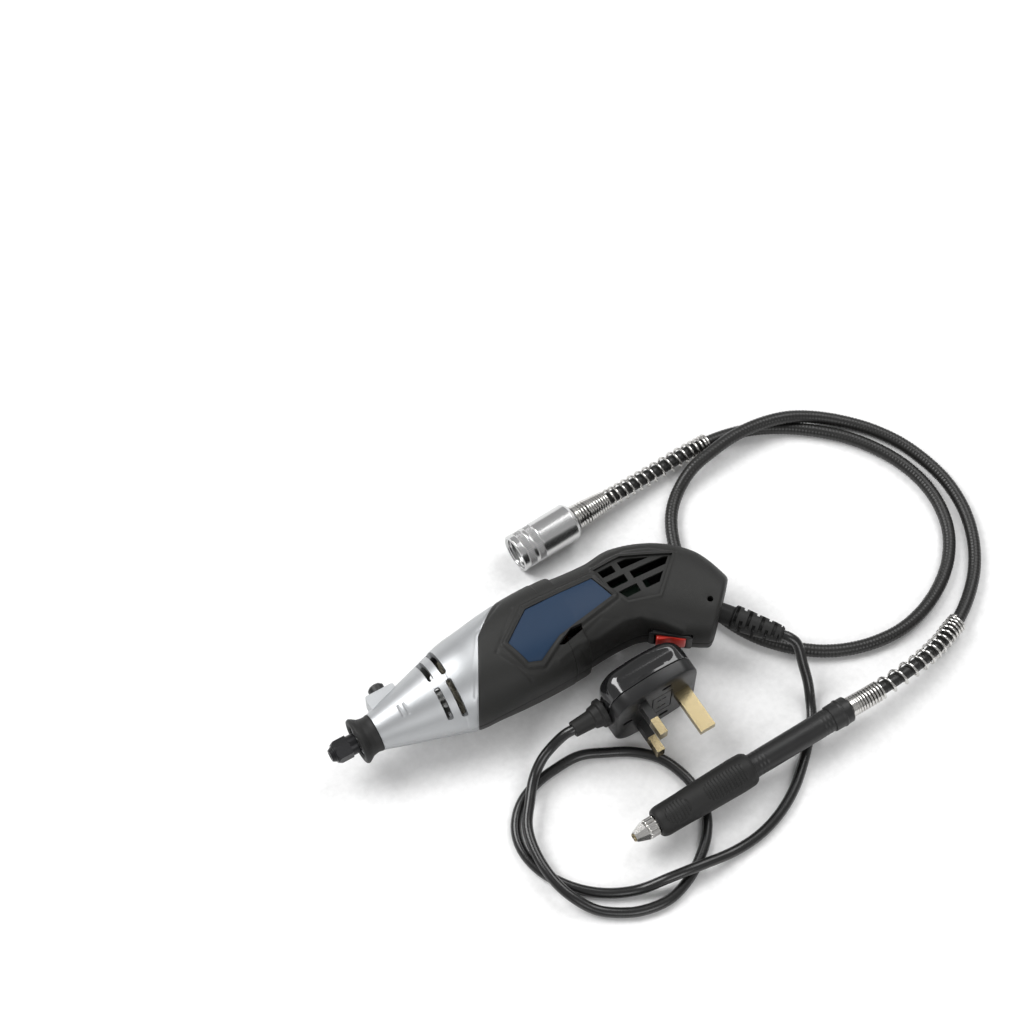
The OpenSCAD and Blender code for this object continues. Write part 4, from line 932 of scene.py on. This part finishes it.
def makeNose():
    nose = skinSolid("noseCone", 0, 5.3)
    inside = skinSolid("inside", 0.9, 5.6, housing["wall"], False, 1.5, 120)
    boss = prism("boss", boxOutline(-73, -58, 0, 15.8, 1.2), axisZ - 6, axisZ + 6)
    keepOnly = prism("keep", housing["noseEdge"], -100, 200)
    carve(nose, [boss], "UNION")
    carve(nose, [keepOnly], "INTERSECT")
    collar = turnedRod("collar", [(-85, 7.9), (-75, 7.9)], (0, 0, axisZ), 0)
    carve(nose, [collar], "UNION")
    tools = [inside, turnedRod("bore", [(-90, 6.4), (-60, 6.4)], (0, 0, axisZ), 0)]
    v = np.linspace(0, 2 * math.pi, 49)[:-1]
    for radius, low, high in lock["holes"]:  # the button's head and its pin slide in these
        rings = [np.column_stack([lock["x"] + radius * np.sin(v), np.full(48, y), axisZ + radius * np.cos(v)])
                 for y in (low, high)]
        tools.append(closedSolid("hole", np.stack(rings)))
    for turn in (0, 180):
        tools += [noseSlot(-39, 3 + turn, 60 + turn), noseSlot(-45.5, 5 + turn, 58 + turn),
                  noseSlot(-39, -64 + turn, -5 + turn), noseSlot(-45.5, -62 + turn, -7 + turn)]
    return carve(nose, tools)


dress(makeNose(), "silver_shell", stands=["nose_housing"])
lockSpring = makeSpring("lockSpringWire", [(lock["x"], y, axisZ) for y in (11.5, 12.5, 13.5, 14.6)], [0, 1.6, 3.2, 5],
                        [lock["spring"]] * 4, lock, ["lock_spring"])
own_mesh(lockSpring)
print("nose made")


# The dial: a wheel whose rim follows a cosine round it, with softened edges
def makeDial():
    a = np.arange(288) * 2 * math.pi / 288
    rim = 0.35 * np.abs(np.cos(a * 18))
    rings = []
    for z, inset in ((-2.5, 1.0), (-2.3, 0.4), (-1.9, 0), (1.9, 0), (2.3, 0.4), (2.5, 1.0)):
        r = 10 - inset - rim
        rings.append(np.column_stack([93.4 + r * np.cos(a), -2.8 + r * np.sin(a), np.full(len(a), axisZ + z)]))
    return closedSolid("speedDialWheel", np.stack(rings))


dress(makeDial(), "dark_plastic", "speed_dial", ["speed_dial"])


# The switch: a thin rounded frame round a rocker whose top is two flats meeting in a soft valley
switch = {"place": (68.27, -28.4, 23.5), "heading": -38, "frame": (10.4, 6.4), "hole": (7.8, 5.1), "tilt": 7}


def atSwitch(points):
    p = np.asarray(points, float)
    return (np.array(switch["place"]) + p[..., :1] * direction(switch["heading"])
            + p[..., 1:2] * sideways(switch["heading"]) + p[..., 2:] * np.array([0, 0, 1.0]))


def switchRing(half, radius, depth):
    o = boxOutline(-half[0], half[0], -half[1], half[1], radius)
    return np.column_stack([o[:, 0], np.full(len(o), depth), o[:, 1]])


def makeSwitch():
    f, h = switch["frame"], switch["hole"]
    rim = closedSolid("switchBezelFrame", atSwitch(np.stack([
        switchRing((f[0] - 1, f[1] - 0.6), 1.6, 12), switchRing((f[0] - 1, f[1] - 0.6), 1.6, -0.2),
        switchRing(f, 1.8, -0.3), switchRing(f, 1.8, -0.8), switchRing((f[0] - 0.4, f[1] - 0.4), 1.6, -1.1)])))
    hole = closedSolid("hole", atSwitch(np.stack([switchRing(h, 0.6, -3), switchRing(h, 0.6, 8)])))
    return carve(rim, [hole])


# Across the rocker the section is a rounded box; along it the top dips by 0.9 mm times a bell at the middle
def makeRocker():
    x = np.linspace(-7.05, 7.05, 60)
    lean = math.radians(switch["tilt"])
    outline = rounded([(-4.7, 1.0), (-4.7, -3.4), (4.7, -3.4), (4.7, 1.0)], 0.7, 6)
    rings = []
    for place in x:
        edge = 1 - 0.12 * ramp(abs(place), 6.4, 7.05)
        y = np.where(outline[:, 1] < -2, (outline[:, 1] + 0.9 * bell(place, 3.2)) * edge, outline[:, 1])
        forward = place * math.cos(lean) - y * math.sin(lean)
        out = 1 + place * math.sin(lean) + y * math.cos(lean)
        rings.append(np.column_stack([forward, out, outline[:, 0] * edge]))
    return closedSolid("rockerCap", atSwitch(np.stack(rings)))


dress(makeSwitch(), "dark_plastic", stands=["switch_body"])
dress(makeRocker(), "red_rocker", "switch_rocker", ["switch_rocker"])
print("switch and dial made")


# Floor and light: a pale floor and broad soft lamps
studio = {"floor": 6, "sky": 0.42, "lamps": [
    ((-0.55, 0.75, 1.15), (0.02, 0, 0), 0.8, 17), ((0.9, 0.35, 1.2), (0.1, 0, 0), 0.8, 9),
    ((-0.15, -1.2, 0.9), (0.05, 0, 0), 0.7, 6)]}


def makeStudio(s):
    half = s["floor"] / 2 / mm
    corners = [(x * half, y * half, -0.02) for x, y in ((-1, -1), (1, -1), (1, 1), (-1, 1))]
    floor = pieceFrom("floor", corners, [(0, 1, 2, 3)], tidyNormals=False)
    paper = makeFinish("floorPaper", (0.86, 0.86, 0.86), (0.88, 0.88, 0.88), rough=0.9, spread=0.02, grain=300,
                       depth=0.02, wear=0.0)
    floor.data.materials.append(paper)
    for place, aim, size, power in s["lamps"]:
        data = bpy.data.lights.new("softLamp", "AREA")
        data.shape, data.size, data.energy = "SQUARE", size, power
        lamp = bpy.data.objects.new("softLamp", data)
        lamp.location = place
        lamp.rotation_euler = (Vector(aim) - Vector(place)).to_track_quat("-Z", "Y").to_euler()
        bpy.context.collection.objects.link(lamp)
    bpy.context.scene.view_settings.view_transform = "Standard"
    world = bpy.data.worlds.new("softSky")
    bpy.context.scene.world = world
    world.use_nodes = True
    world.node_tree.nodes["Background"].inputs["Color"].default_value = (1, 1, 1, 1)
    world.node_tree.nodes["Background"].inputs["Strength"].default_value = s["sky"]


makeStudio(studio)
print("studio lit")
